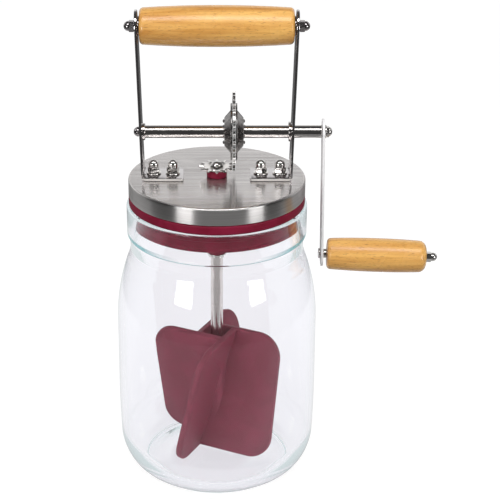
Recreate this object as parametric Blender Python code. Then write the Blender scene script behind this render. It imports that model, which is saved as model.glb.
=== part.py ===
"""Hand-cranked butter churn: a glass jar, a push-in steel lid that carries a strap handle and a crank
with a toothed wheel, and a dasher whose star pinion the wheel turns. Metres, +Z up; the origin is the
centre of the jar's flat underside, the crank's axle lies along X."""

import math

import bmesh
import bpy
from mathutils import Matrix, Vector

# Clearances, shared by all the pieces
SEAT_GAP = 0.0003
RUNNING_GAP = 0.0003
CUT_OVERRUN = 0.002
MERGE_DISTANCE = 0.000001
POLE_RADIUS = MERGE_DISTANCE / 4
SHARP_EDGE_DEG = 35

# Facets of round pieces
JAR_SIDES = 36
LID_SIDES = 36
GRIP_SIDES = 20
ROD_SIDES = 16
NUT_SIDES = 12
STEM_SIDES = 8

# Steps of curved outlines
HEEL_STEPS = 5
INNER_HEEL_STEPS = 4
LOWER_WALL_STEPS = 2
SHOULDER_STEPS = 5
INNER_SHOULDER_STEPS = 4
LID_EDGE_STEPS = 3
STRAP_BEND_STEPS = 5
STRAP_TOP_STEPS = 8
GRIP_BARREL_STEPS = 6
GRIP_ROUND_STEPS = 2
ARM_END_STEPS = 10

# Glass jar
JAR_BODY_RADIUS = 0.0649
JAR_WALL = 0.0030
JAR_FOOT_RADIUS = 0.0460
JAR_HEEL_RADIUS = 0.0633
JAR_HEEL_HEIGHT = 0.0180
JAR_LOWER_WALL = 0.0420
JAR_BARREL = 0.0480
JAR_SHOULDER = 0.0450
JAR_WAIST_DROP = 0.0035
JAR_NECK = 0.0065
JAR_FINISH = 0.0240
JAR_FLOOR = 0.0095
JAR_FLOOR_RADIUS = 0.0420
JAR_INNER_HEEL = 0.0185
JAR_FINISH_RADIUS = 0.0576
JAR_FINISH_WALL = 0.0036
JAR_WAIST_DEPTH = 0.0020
JAR_WAIST_FLARE = 0.0010
JAR_RIM_ROUND = 0.0012

# Pressed steel lid
LID_INSET = 0.0014
LID_DEPTH = 0.0110
LID_SHEET = 0.0009
LID_EDGE_ROUND = 0.0014

# Moulded seal under the lid
SEAL_FLANGE = 0.0060
SEAL_PLUG_DEPTH = 0.0125
SEAL_LIP = 0.0020
SEAL_GROOVE = 0.0008
SEAL_PLUG_WALL = 0.0031
SEAL_WEB = 0.0050
SEAL_LIP_SHARES = (0.45, 1.0)

# Bushes that guide the dasher's shaft
BUSH_SLEEVE_WALL = 0.0011
UPPER_BUSH_COLLAR = 0.0010
UPPER_BUSH_HEIGHT = 0.0042
BUSH_SPIGOT = 0.0022
LOWER_BUSH_WALL = 0.0016
LOWER_BUSH_LENGTH = 0.0458
LOWER_BUSH_CHAMFER = 0.0012

# Small fasteners: M4 thread, acorn nuts, plain washers and pan-head screws
THREAD_RADIUS = 0.0020
FOOT_NUT_WALL = 0.0012
FOOT_NUT_HEIGHT = 0.0080
NUT_HEX_HEIGHT = 0.0032
NUT_CHAMFER = 0.0004
NUT_ROOF = 0.0012
DOME_TURNS_DEG = (30, 65)
WASHER_RADIUS = 0.0047
WASHER_THICKNESS = 0.0008
SCREW_HEAD_RADIUS = 0.0036
SCREW_HEAD_HEIGHT = 0.0018

# Strap uprights, bent inward at the foot
STRAP_WIDTH = 0.0200
STRAP_SHEET = 0.0016
STRAP_BEND = 0.0030
STRAP_INSET = 0.00865
STRAP_LEAN_DEG = 1.585
STRAP_FOOT_LENGTH = 0.02655
FOOT_SCREW_MARGIN = 0.0068
FOOT_SCREW_PITCH = 0.0121

# Carrying grip between the straps
HANDLE_HEIGHT = 0.0982
HANDLE_GRIP_RADIUS = 0.01275
HANDLE_GRIP_END_RADIUS = 0.0112
HANDLE_WASHER_RADIUS = 0.0062
HANDLE_WASHER_THICKNESS = 0.0006
HANDLE_NUT_WALL = 0.0010
HANDLE_NUT_HEIGHT = 0.0064
GRIP_EDGE_ROUND = 0.0022
GRIP_EDGE_TURN_DEG = 72

# Toothed wheel and star pinion: equal pitch, 30 teeth to 12
TOOTH_PITCH = 0.00518
WHEEL_TEETH = 30
WHEEL_ADDENDUM = 0.00035
WHEEL_DEDENDUM = 0.00255
WHEEL_TOOTH_ROOT_SHARE = 0.47
WHEEL_TOOTH_MIDDLE_SHARE = 0.40
WHEEL_TOOTH_TIP_SHARE = 0.22
WHEEL_SHEET = 0.0020
STAR_TEETH = 12
STAR_ADDENDUM = 0.0015
STAR_DEDENDUM = 0.0017
STAR_TOOTH_ROOT_SHARE = 0.55
STAR_TOOTH_TIP_SHARE = 0.13
STAR_SHEET = 0.0015
STAR_DISH = 0.0010
STAR_DISH_RADIUS = 0.0052
STAR_DISH_WIDTH = 0.0018
STAR_NUT_WALL = 0.0016
STAR_NUT_HEIGHT = 0.0036
STAR_NUT_HEX_HEIGHT = 0.0014
MESH_DROP = 0.0014
MESH_REACH = 0.0008

# Dished hub discs riveted to the toothed wheel
DISC_SHEET = 0.0008
DISC_HEIGHT = 0.0047
DISC_CONE_WIDTH = 0.0045
DISC_RIM_WIDTH = 0.0045
HUB_SLEEVE_WALL = 0.0011
RIVET_COUNT = 4
RIVET_INSET = 0.0020
RIVET_MARGIN = 0.0015
RIVET_RADIUS = 0.0009
RIVET_HEAD_RADIUS = 0.0013
RIVET_HEAD_HEIGHT = 0.0008

# Crank axle and its bearings in the straps
AXLE_RADIUS = 0.0040
AXLE_BUSH_WALL = 0.0009
AXLE_BUSH_COLLAR = 0.00105
AXLE_BUSH_FLANGE = 0.0012
AXLE_CAP_RIM = 0.0007
AXLE_CAP_DEPTH = 0.0020
AXLE_CAP_WALL = 0.0009
ARM_CLEARANCE = 0.0009

# Crank arm, spindle and turning grip
ARM_WIDTH = 0.0164
ARM_SHEET = 0.0015
ARM_THROW = 0.0833
ARM_LEAN_DEG = 0.6
ARM_WASHER_RADIUS = 0.0042
ARM_NUT_WALL = 0.0009
ARM_NUT_HEIGHT = 0.0034
ARM_NUT_HEX_HEIGHT = 0.0014
SPINDLE_DROOP_DEG = 2.1
SPINDLE_RADIUS = 0.0018
SPINDLE_HEAD_RADIUS = 0.0034
SPINDLE_HEAD_HEIGHT = 0.0011
SPINDLE_SPACER_RADIUS = 0.0030
SPINDLE_SPACER_LENGTH = 0.0019
SPINDLE_NUT_WALL = 0.0009
SPINDLE_NUT_HEIGHT = 0.0071
CRANK_GRIP_LENGTH = 0.0641
CRANK_GRIP_RADIUS = 0.01095
CRANK_GRIP_END_RADIUS = 0.0100
CRANK_GRIP_FAR_ROUND = 0.0040

# Dasher: shaft, retaining ring and four-bladed paddle
SHAFT_RADIUS = 0.0040
THRUST_WASHER_WIDTH = 0.0021
THRUST_WASHER_THICKNESS = 0.0010
CLIP_WIDTH = 0.0022
CLIP_THICKNESS = 0.0011
CLIP_GROOVE_DEPTH = 0.0009
CLIP_MOUTH_DEG = 70
CLIP_STEPS = 18
PADDLE_FLOOR_GAP = 0.0038
PADDLE_HEIGHT = 0.0827
PADDLE_RADIUS = 0.0427
PADDLE_PITCH_DEG = 12.9
PADDLE_TURN_DEG = -26.6
PADDLE_BLADES = 4
PADDLE_SHEET = 0.0043
PADDLE_TOP_ROUND = 0.0159
PADDLE_BOTTOM_ROUND = 0.0152
PADDLE_ROUND_STEPS = 6
PADDLE_HUB_WALL = 0.0023
PADDLE_HUB_TOP_DROP = 0.0060
PADDLE_HUB_BOTTOM_RISE = 0.0020
PADDLE_SOCKET_DEPTH = 0.0560

# Places worked out from the sizes above
FINISH_BORE = JAR_FINISH_RADIUS - JAR_FINISH_WALL
WAIST_RADIUS = JAR_FINISH_RADIUS - JAR_WAIST_DEPTH
BARREL_START = JAR_HEEL_HEIGHT + JAR_LOWER_WALL
SHOULDER_START = BARREL_START + JAR_BARREL
SHOULDER_END = SHOULDER_START + JAR_SHOULDER
SHOULDER_DROP = JAR_BODY_RADIUS - WAIST_RADIUS - JAR_WAIST_FLARE
WAIST_HEIGHT = SHOULDER_END + JAR_WAIST_DROP
FINISH_START = WAIST_HEIGHT + JAR_NECK
JAR_RIM = FINISH_START + JAR_FINISH
LID_RADIUS = JAR_FINISH_RADIUS - LID_INSET
FLANGE_BOTTOM = JAR_RIM + SEAT_GAP
FLANGE_TOP = FLANGE_BOTTOM + SEAL_FLANGE
SKIRT_END = FLANGE_TOP + SEAT_GAP
LID_TOP = SKIRT_END + LID_DEPTH
WEB_TOP = LID_TOP - LID_SHEET - SEAT_GAP
WEB_BOTTOM = WEB_TOP - SEAL_WEB
SCREW_HOLE_RADIUS = THREAD_RADIUS + RUNNING_GAP
SHAFT_BORE = SHAFT_RADIUS + RUNNING_GAP
BUSH_SLEEVE_RADIUS = SHAFT_BORE + BUSH_SLEEVE_WALL
UPPER_BUSH_RADIUS = BUSH_SLEEVE_RADIUS + UPPER_BUSH_COLLAR
BUSH_HOLE_RADIUS = BUSH_SLEEVE_RADIUS + SEAT_GAP
LOWER_BUSH_RADIUS = BUSH_HOLE_RADIUS + LOWER_BUSH_WALL
BUSH_TOP = LID_TOP + SEAT_GAP + UPPER_BUSH_HEIGHT
LOWER_BUSH_TOP = WEB_BOTTOM - SEAT_GAP
LOWER_BUSH_BOTTOM = LOWER_BUSH_TOP - LOWER_BUSH_LENGTH

FOOT_BOTTOM = LID_TOP + SEAT_GAP
FOOT_TOP = FOOT_BOTTOM + STRAP_SHEET
STRAP_LEAN = math.radians(STRAP_LEAN_DEG)
STRAP_OUTER = LID_RADIUS - STRAP_INSET
FOOT_END = STRAP_OUTER - STRAP_FOOT_LENGTH
FOOT_SCREWS = (FOOT_END + FOOT_SCREW_MARGIN, FOOT_END + FOOT_SCREW_MARGIN + FOOT_SCREW_PITCH)
HANDLE_Z = LID_TOP + HANDLE_HEIGHT

STAR_BOTTOM = BUSH_TOP + SEAT_GAP
STAR_TOOTH_MIDDLE = STAR_BOTTOM + STAR_DISH + STAR_SHEET / 2
STAR_PITCH_RADIUS = STAR_TEETH * TOOTH_PITCH / (2 * math.pi)
WHEEL_PITCH_RADIUS = WHEEL_TEETH * TOOTH_PITCH / (2 * math.pi)
AXLE_Z = STAR_TOOTH_MIDDLE + WHEEL_PITCH_RADIUS - MESH_DROP
WHEEL_X = STAR_PITCH_RADIUS + MESH_REACH

HUB_SLEEVE_RADIUS = AXLE_RADIUS + SEAT_GAP + HUB_SLEEVE_WALL
RIVET_CIRCLE = HUB_SLEEVE_RADIUS + RIVET_INSET
DISC_FACE_RADIUS = RIVET_CIRCLE + RIVET_MARGIN
DISC_SHOULDER_RADIUS = DISC_FACE_RADIUS + DISC_CONE_WIDTH
DISC_RIM_RADIUS = DISC_SHOULDER_RADIUS + DISC_RIM_WIDTH
AXLE_END = max(JAR_BODY_RADIUS, JAR_FINISH_RADIUS) + ARM_CLEARANCE
ARM_FACE = AXLE_END + SEAT_GAP
PADDLE_BOTTOM = JAR_FLOOR + PADDLE_FLOOR_GAP
PADDLE_TOP = PADDLE_BOTTOM + PADDLE_HEIGHT
HUB_TOP = PADDLE_TOP - PADDLE_HUB_TOP_DROP
HUB_BOTTOM = PADDLE_BOTTOM + PADDLE_HUB_BOTTOM_RISE
SOCKET_BOTTOM = HUB_TOP - PADDLE_SOCKET_DEPTH

ALONG_X = Matrix.Rotation(math.pi / 2, 4, "Y")


def clear_scene():
    for item in list(bpy.data.objects):
        bpy.data.objects.remove(item, do_unlink=True)


def make_material(name, colour, roughness, metallic, transmission=0.0):
    material = bpy.data.materials.new(name)
    material.use_nodes = True
    shader = material.node_tree.nodes["Principled BSDF"]
    shader.inputs["Base Color"].default_value = (*colour, 1.0)
    shader.inputs["Roughness"].default_value = roughness
    shader.inputs["Metallic"].default_value = metallic
    shader.inputs["Transmission Weight"].default_value = transmission
    material.diffuse_color = (*colour, 1.0)
    return material


def add_empty(name, location, parent=None, rotation=(0, 0, 0)):
    empty = bpy.data.objects.new(name, None)
    bpy.context.scene.collection.objects.link(empty)
    empty.parent = parent
    empty.location = location
    empty.rotation_euler = rotation
    return empty


def add_solid(name, shape, material, parent=None, location=(0, 0, 0), rotation=(0, 0, 0)):
    """An object from a bmesh, with its faces pointing out and its rounds shaded smooth."""
    bmesh.ops.remove_doubles(shape, verts=shape.verts, dist=MERGE_DISTANCE)
    bmesh.ops.recalc_face_normals(shape, faces=shape.faces)
    mesh = bpy.data.meshes.new(name)
    shape.to_mesh(mesh)
    shape.free()
    mesh.shade_smooth()
    mesh.set_sharp_from_angle(angle=math.radians(SHARP_EDGE_DEG))
    if material:
        mesh.materials.append(material)
    solid = bpy.data.objects.new(name, mesh)
    bpy.context.scene.collection.objects.link(solid)
    solid.parent = parent
    solid.location = location
    solid.rotation_euler = rotation
    return solid


def cut(solid, cutter):
    cutter.hide_render = True
    cutter.display_type = "WIRE"
    cutter.parent = solid.parent
    modifier = solid.modifiers.new("cut_" + cutter.name, "BOOLEAN")
    modifier.operation = "DIFFERENCE"
    modifier.solver = "EXACT"
    modifier.object = cutter


def join(solid, other):
    """Boolean union; the other object stays as a hidden helper."""
    other.hide_render = True
    other.display_type = "WIRE"
    other.parent = solid.parent
    modifier = solid.modifiers.new("join_" + other.name, "BOOLEAN")
    modifier.operation = "UNION"
    modifier.solver = "EXACT"
    modifier.object = other


def turned(profile, sides):
    """Solid of revolution about Z. The profile is a loop of (radius, height), or ends on the axis."""
    shape = bmesh.new()
    points = [shape.verts.new((radius, 0, height)) for radius, height in profile]
    edges = [shape.edges.new(pair) for pair in zip(points, points[1:])]
    if profile[0][0] > 0 or profile[-1][0] > 0:
        edges.append(shape.edges.new((points[-1], points[0])))
    bmesh.ops.spin(
        shape,
        geom=points + edges,
        cent=(0, 0, 0),
        axis=(0, 0, 1),
        angle=2 * math.pi,
        steps=sides,
        use_merge=True,
    )
    return shape


def turned_along_x(profile, sides):
    """Solid of revolution about X, from (radius, x) points."""
    shape = turned(profile, sides)
    bmesh.ops.transform(shape, matrix=ALONG_X, verts=shape.verts)
    return shape


def lofted(sections, closed=False):
    """Solid through sections of equal point count: capped at both ends, or closed on itself."""
    shape = bmesh.new()
    loops = [[shape.verts.new(point) for point in section] for section in sections]
    following = loops[1:] + loops[:1] if closed else loops[1:]
    for lower, upper in zip(loops, following):
        for here in range(len(lower)):
            there = (here + 1) % len(lower)
            shape.faces.new((lower[here], lower[there], upper[there], upper[here]))
    if not closed:
        shape.faces.new(loops[0])
        shape.faces.new(loops[-1])
    return shape


def extruded(outline, depth):
    """Plate from a flat outline in XY, centred on its own mid-plane."""
    shape = bmesh.new()
    face = shape.faces.new([shape.verts.new((x, y, -depth / 2)) for x, y in outline])
    grown = bmesh.ops.extrude_face_region(shape, geom=[face])
    upper = [item for item in grown["geom"] if isinstance(item, bmesh.types.BMVert)]
    bmesh.ops.translate(shape, vec=(0, 0, depth), verts=upper)
    return shape


def arc(centre, radii, start, end, steps):
    """Points of an elliptical arc, angles in degrees."""
    points = []
    for step in range(steps + 1):
        angle = math.radians(start + (end - start) * step / steps)
        points.append((centre[0] + radii[0] * math.cos(angle), centre[1] + radii[1] * math.sin(angle)))
    return points


def rod_cutter(name, radius, length, location, rotation=(0, 0, 0), sides=NUT_SIDES):
    profile = [(0, length / 2), (radius, length / 2), (radius, -length / 2), (0, -length / 2)]
    return add_solid(name, turned(profile, sides), None, None, location, rotation)


def tube(inner, outer, bottom, top, sides):
    return turned([(inner, top), (outer, top), (outer, bottom), (inner, bottom)], sides)


def acorn_nut(wall, height, hex_height, thread):
    """Blind dome nut along +Z from its seat at z = 0: hexagon below, ball-shaped cap above."""

    def ring(radius, z, hexagonal=False):
        points = []
        for step in range(NUT_SIDES):
            turn = 2 * math.pi * step / NUT_SIDES
            reach = radius
            if hexagonal:
                to_flat = (turn + math.pi / 6) % (math.pi / 3) - math.pi / 6
                reach = radius / math.cos(to_flat)
            points.append((reach * math.cos(turn), reach * math.sin(turn), z))
        return points

    bore = thread + RUNNING_GAP
    half = bore + wall
    neck = half - NUT_CHAMFER
    dome_height = height - hex_height
    sections = [ring(bore, height - NUT_ROOF), ring(bore, 0), ring(neck, 0)]
    sections += [ring(half, NUT_CHAMFER, True), ring(half, hex_height - NUT_CHAMFER, True)]
    sections.append(ring(neck, hex_height))
    for radius, z in arc((0, hex_height), (neck, dome_height), *DOME_TURNS_DEG, 1):
        sections.append(ring(radius, z))
    sections.append(ring(POLE_RADIUS, height))
    return lofted(sections)


def stud_length(nut_height):
    """How far a thread reaches into an acorn nut from the nut's seat."""
    return nut_height - NUT_ROOF - SEAT_GAP


def jar_outer_radius(z):
    """Outer radius of the jar's wall between its heel and the end of its shoulder."""
    if z < BARREL_START:
        rise = (z - JAR_HEEL_HEIGHT) / (BARREL_START - JAR_HEEL_HEIGHT)
        return JAR_HEEL_RADIUS + (JAR_BODY_RADIUS - JAR_HEEL_RADIUS) * math.sin(rise * math.pi / 2)
    if z < SHOULDER_START:
        return JAR_BODY_RADIUS
    rise = (z - SHOULDER_START) / (SHOULDER_END - SHOULDER_START)
    return JAR_BODY_RADIUS - SHOULDER_DROP * rise * rise


def heights(start, end, steps):
    return [start + (end - start) * step / steps for step in range(1, steps + 1)]


def make_jar(glass):
    heel = (JAR_HEEL_RADIUS - JAR_FOOT_RADIUS, JAR_HEEL_HEIGHT)
    outer = [(0, 0)] + arc((JAR_FOOT_RADIUS, JAR_HEEL_HEIGHT), heel, -90, 0, HEEL_STEPS)
    outer += [(jar_outer_radius(z), z) for z in heights(JAR_HEEL_HEIGHT, BARREL_START, LOWER_WALL_STEPS)]
    outer += [(jar_outer_radius(z), z) for z in heights(BARREL_START, SHOULDER_START, 1)]
    outer += [(jar_outer_radius(z), z) for z in heights(SHOULDER_START, SHOULDER_END, SHOULDER_STEPS)]
    outer += [(WAIST_RADIUS, WAIST_HEIGHT), (WAIST_RADIUS, WAIST_HEIGHT + JAR_RIM_ROUND)]
    outer += [(JAR_FINISH_RADIUS, FINISH_START), (JAR_FINISH_RADIUS, JAR_RIM - JAR_RIM_ROUND)]
    outer += [(JAR_FINISH_RADIUS - JAR_RIM_ROUND, JAR_RIM), (FINISH_BORE + JAR_RIM_ROUND, JAR_RIM)]
    inner_heel_top = JAR_FLOOR + JAR_INNER_HEEL
    heel = (jar_outer_radius(inner_heel_top) - JAR_WALL - JAR_FLOOR_RADIUS, JAR_INNER_HEEL)
    inner = [(0, JAR_FLOOR)] + arc((JAR_FLOOR_RADIUS, inner_heel_top), heel, -90, 0, INNER_HEEL_STEPS)
    levels = heights(inner_heel_top, BARREL_START, 1) + heights(BARREL_START, SHOULDER_START, 1)
    levels += heights(SHOULDER_START, SHOULDER_END, INNER_SHOULDER_STEPS)
    inner += [(jar_outer_radius(z) - JAR_WALL, z) for z in levels]
    inner += [(WAIST_RADIUS - JAR_WALL, WAIST_HEIGHT)]
    inner += [(FINISH_BORE, FINISH_START), (FINISH_BORE, JAR_RIM - JAR_RIM_ROUND)]
    add_solid("glass_jar", turned(outer + inner[::-1], JAR_SIDES), glass)


def make_lid(steel, frame):
    outer_corner = (LID_RADIUS - LID_EDGE_ROUND, LID_TOP - LID_EDGE_ROUND)
    inner_round = LID_EDGE_ROUND - LID_SHEET
    profile = [(BUSH_HOLE_RADIUS, LID_TOP)]
    profile += arc(outer_corner, (LID_EDGE_ROUND, LID_EDGE_ROUND), 90, 0, LID_EDGE_STEPS)
    profile += [(LID_RADIUS, SKIRT_END), (LID_RADIUS - LID_SHEET, SKIRT_END)]
    profile += arc(outer_corner, (inner_round, inner_round), 0, 90, 1)
    profile += [(BUSH_HOLE_RADIUS, LID_TOP - LID_SHEET)]
    lid = add_solid("steel_lid", turned(profile, LID_SIDES), steel, frame)
    for index, x in enumerate(screw_places()):
        place = (x, 0, LID_TOP)
        cut(lid, rod_cutter(f"lid_hole_{index}", SCREW_HOLE_RADIUS, 2 * CUT_OVERRUN, place))


def screw_places():
    return [side * x for side in (-1, 1) for x in FOOT_SCREWS]


def make_seal(silicone, frame):
    lip = FINISH_BORE * math.cos(math.pi / JAR_SIDES) - SEAT_GAP
    groove = lip - SEAL_GROOVE
    cap = LID_RADIUS * math.cos(math.pi / LID_SIDES) - LID_SHEET - SEAT_GAP
    plug_end = FLANGE_BOTTOM - SEAL_PLUG_DEPTH
    hollow = lip - SEAL_PLUG_WALL
    profile = [(BUSH_HOLE_RADIUS, WEB_TOP), (cap - LID_EDGE_ROUND, WEB_TOP)]
    profile += [(cap, WEB_TOP - LID_EDGE_ROUND), (cap, FLANGE_TOP), (LID_RADIUS, FLANGE_TOP)]
    profile += [(LID_RADIUS, FLANGE_BOTTOM), (groove, FLANGE_BOTTOM)]
    for share in SEAL_LIP_SHARES:
        end = FLANGE_BOTTOM - SEAL_PLUG_DEPTH * share
        profile += [(groove, end + SEAL_LIP + SEAL_GROOVE), (lip, end + SEAL_LIP)]
        profile += [(lip, end + SEAL_GROOVE), (groove, end)]
    profile += [(hollow, plug_end), (hollow, WEB_BOTTOM), (BUSH_HOLE_RADIUS, WEB_BOTTOM)]
    seal = add_solid("silicone_seal", turned(profile, LID_SIDES), silicone, frame)
    pocket_depth = 2 * SEAT_GAP + SCREW_HEAD_HEIGHT
    pocket = SCREW_HEAD_RADIUS + SEAT_GAP
    for index, x in enumerate(screw_places()):
        place = (x, 0, WEB_TOP + CUT_OVERRUN - pocket_depth)
        cut(seal, rod_cutter(f"seal_pocket_{index}", pocket, 2 * CUT_OVERRUN, place))


def make_shaft_bushes(silicone, frame):
    spigot_end = WEB_BOTTOM - BUSH_SPIGOT
    seat = LID_TOP + SEAT_GAP
    upper = [(SHAFT_BORE, BUSH_TOP), (UPPER_BUSH_RADIUS, BUSH_TOP), (UPPER_BUSH_RADIUS, seat)]
    upper += [(BUSH_SLEEVE_RADIUS, seat), (BUSH_SLEEVE_RADIUS, spigot_end), (SHAFT_BORE, spigot_end)]
    add_solid("upper_shaft_bush", turned(upper, ROD_SIDES), silicone, frame)
    counterbore_end = spigot_end - SEAT_GAP
    lower = [(BUSH_HOLE_RADIUS, LOWER_BUSH_TOP), (LOWER_BUSH_RADIUS, LOWER_BUSH_TOP)]
    lower += [(LOWER_BUSH_RADIUS, LOWER_BUSH_BOTTOM + LOWER_BUSH_CHAMFER)]
    lower.append((LOWER_BUSH_RADIUS - LOWER_BUSH_CHAMFER, LOWER_BUSH_BOTTOM))
    lower += [(SHAFT_BORE, LOWER_BUSH_BOTTOM), (SHAFT_BORE, counterbore_end)]
    lower.append((BUSH_HOLE_RADIUS, counterbore_end))
    add_solid("lower_shaft_bush", turned(lower, ROD_SIDES), silicone, frame)


def strap_path():
    """Mid-line of the right strap as (x, z, direction): foot end, bend, then the leaning upright."""
    bend_middle = STRAP_BEND - STRAP_SHEET / 2
    centre = (STRAP_OUTER - STRAP_BEND, FOOT_BOTTOM + STRAP_BEND)
    path = [(FOOT_END, FOOT_BOTTOM + STRAP_SHEET / 2, 0.0)]
    turn = math.pi / 2 - STRAP_LEAN
    for step in range(STRAP_BEND_STEPS + 1):
        angle = turn * step / STRAP_BEND_STEPS
        x = centre[0] + bend_middle * math.sin(angle)
        z = centre[1] - bend_middle * math.cos(angle)
        path.append((x, z, angle))
    return path


def strap_middle_x(z):
    """X of the strap's mid-plane at a height on its upright."""
    x, start, _ = strap_path()[-1]
    return x + (z - start) * math.tan(STRAP_LEAN)


def make_strap(name, side, steel, frame):
    half_width = STRAP_WIDTH / 2
    stations = [(x, z, angle, half_width) for x, z, angle in strap_path()]
    lean = math.pi / 2 - STRAP_LEAN
    for step in range(STRAP_TOP_STEPS + 1):
        rise = math.pi / 2 * step / STRAP_TOP_STEPS
        z = HANDLE_Z + half_width * math.sin(rise)
        stations.append((strap_middle_x(z), z, lean, half_width * math.cos(rise)))
    sections = []
    for x, z, angle, width in stations:
        across = Vector((-math.sin(angle), 0, math.cos(angle))) * STRAP_SHEET / 2
        middle = Vector((x, 0, z))
        edge = Vector((0, width, 0))
        corners = [middle + across + edge, middle + across - edge]
        corners += [middle - across - edge, middle - across + edge]
        sections.append([(side * point.x, point.y, point.z) for point in corners])
    strap = add_solid(name, lofted(sections), steel, frame)
    turn = (0, math.pi / 2, 0)
    for index, x in enumerate(FOOT_SCREWS):
        place = (side * x, 0, FOOT_BOTTOM)
        hole = rod_cutter(f"{name}_foot_hole_{index}", SCREW_HOLE_RADIUS, 2 * CUT_OVERRUN, place)
        cut(strap, hole)
    bush_hole = axle_bush_radius() + SEAT_GAP
    place = (side * strap_middle_x(AXLE_Z), 0, AXLE_Z)
    cut(strap, rod_cutter(name + "_axle_hole", bush_hole, 2 * CUT_OVERRUN, place, turn, ROD_SIDES))
    place = (side * strap_middle_x(HANDLE_Z), 0, HANDLE_Z)
    cut(strap, rod_cutter(name + "_rod_hole", SCREW_HOLE_RADIUS, 2 * CUT_OVERRUN, place, turn))


def make_foot_fasteners(bright, frame):
    washer_bottom = FOOT_TOP + SEAT_GAP
    nut_seat = washer_bottom + WASHER_THICKNESS + SEAT_GAP
    head_bottom = WEB_TOP - SCREW_HEAD_HEIGHT
    names = ("left_outer", "left_inner", "right_inner", "right_outer")
    for name, x in zip(names, sorted(screw_places())):
        screw_tip = nut_seat + stud_length(FOOT_NUT_HEIGHT)
        profile = [(0, screw_tip), (THREAD_RADIUS, screw_tip), (THREAD_RADIUS, WEB_TOP)]
        profile += [(SCREW_HEAD_RADIUS, WEB_TOP), (SCREW_HEAD_RADIUS, WEB_TOP - SCREW_HEAD_HEIGHT / 2)]
        profile += [(SCREW_HEAD_RADIUS / 2, head_bottom), (0, head_bottom)]
        add_solid(f"foot_screw_{name}", turned(profile, STEM_SIDES), bright, frame, (x, 0, 0))
        washer = tube(SCREW_HOLE_RADIUS, WASHER_RADIUS, 0, WASHER_THICKNESS, NUT_SIDES)
        add_solid(f"foot_washer_{name}", washer, bright, frame, (x, 0, washer_bottom))
        nut = acorn_nut(FOOT_NUT_WALL, FOOT_NUT_HEIGHT, NUT_HEX_HEIGHT, THREAD_RADIUS)
        add_solid(f"foot_nut_{name}", nut, bright, frame, (x, 0, nut_seat))


def grip_end(end_radius, edge_round):
    """A grip's rounded edge from its end face at x = 0, as (radius, x) points."""
    corner = (end_radius - edge_round, edge_round)
    radii = (edge_round, edge_round)
    return arc(corner, radii, -90, GRIP_EDGE_TURN_DEG - 90, GRIP_ROUND_STEPS)


def grip_profile(length, middle_radius, end_radius, bore, far_round):
    """Barrel from x = 0 to its length with rounded ends and a bore, as (radius, x) points."""
    barrel = []
    for step in range(1, GRIP_BARREL_STEPS):
        along = step / GRIP_BARREL_STEPS
        swell = 1 - (2 * along - 1) ** 2
        barrel.append((end_radius + (middle_radius - end_radius) * swell, length * along))
    near = grip_end(end_radius, GRIP_EDGE_ROUND)
    far = [(radius, length - x) for radius, x in grip_end(end_radius, far_round)[::-1]]
    return [(bore, 0)] + near + barrel + far + [(bore, length)]


def make_handle(wood, steel, bright, frame):
    inner_face = strap_middle_x(HANDLE_Z) - STRAP_SHEET / 2
    outer_face = strap_middle_x(HANDLE_Z) + STRAP_SHEET / 2
    grip_half = inner_face - HANDLE_WASHER_THICKNESS - 2 * SEAT_GAP
    bore = THREAD_RADIUS + 2 * RUNNING_GAP
    radii = (HANDLE_GRIP_RADIUS, HANDLE_GRIP_END_RADIUS)
    profile = grip_profile(2 * grip_half, *radii, bore, GRIP_EDGE_ROUND)
    grip = turned_along_x(profile, GRIP_SIDES)
    add_solid("top_grip", grip, wood, frame, (-grip_half, 0, HANDLE_Z))
    lean_space = 2 * (SCREW_HOLE_RADIUS + HANDLE_NUT_WALL) * math.tan(STRAP_LEAN)
    nut_seat = outer_face + SEAT_GAP + lean_space
    rod_end = nut_seat + stud_length(HANDLE_NUT_HEIGHT)
    rod = [(0, rod_end), (THREAD_RADIUS, rod_end), (THREAD_RADIUS, -rod_end), (0, -rod_end)]
    add_solid("handle_rod", turned_along_x(rod, ROD_SIDES), steel, frame, (0, 0, HANDLE_Z))
    washer_at = (grip_half + inner_face - HANDLE_WASHER_THICKNESS) / 2
    washer_end = washer_at + HANDLE_WASHER_THICKNESS
    for name, side in (("left", -1), ("right", 1)):
        ring = tube(SCREW_HOLE_RADIUS, HANDLE_WASHER_RADIUS, washer_at, washer_end, ROD_SIDES)
        turn = (0, side * math.pi / 2, 0)
        add_solid(f"handle_washer_{name}", ring, steel, frame, (0, 0, HANDLE_Z), turn)
        nut = acorn_nut(HANDLE_NUT_WALL, HANDLE_NUT_HEIGHT, NUT_HEX_HEIGHT, THREAD_RADIUS)
        add_solid(f"handle_nut_{name}", nut, bright, frame, (side * nut_seat, 0, HANDLE_Z), turn)


def axle_bush_radius():
    return AXLE_RADIUS + RUNNING_GAP + AXLE_BUSH_WALL


def make_axle_bushes(steel, frame):
    bore = AXLE_RADIUS + RUNNING_GAP
    flange_radius = axle_bush_radius() + AXLE_BUSH_COLLAR
    lean_space = flange_radius * math.tan(STRAP_LEAN)
    seat = strap_middle_x(AXLE_Z) - STRAP_SHEET / 2 - SEAT_GAP - lean_space
    end = strap_middle_x(AXLE_Z) + STRAP_SHEET / 2 + SEAT_GAP
    profile = [(bore, end), (axle_bush_radius(), end), (axle_bush_radius(), seat)]
    profile += [(flange_radius, seat), (flange_radius, seat - AXLE_BUSH_FLANGE)]
    profile += [(bore, seat - AXLE_BUSH_FLANGE)]
    for name, side in (("left", -1), ("right", 1)):
        turn = (0, side * math.pi / 2, 0)
        bush = turned(profile, ROD_SIDES)
        add_solid(f"axle_bush_{name}", bush, steel, frame, (0, 0, AXLE_Z), turn)
    return end


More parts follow.
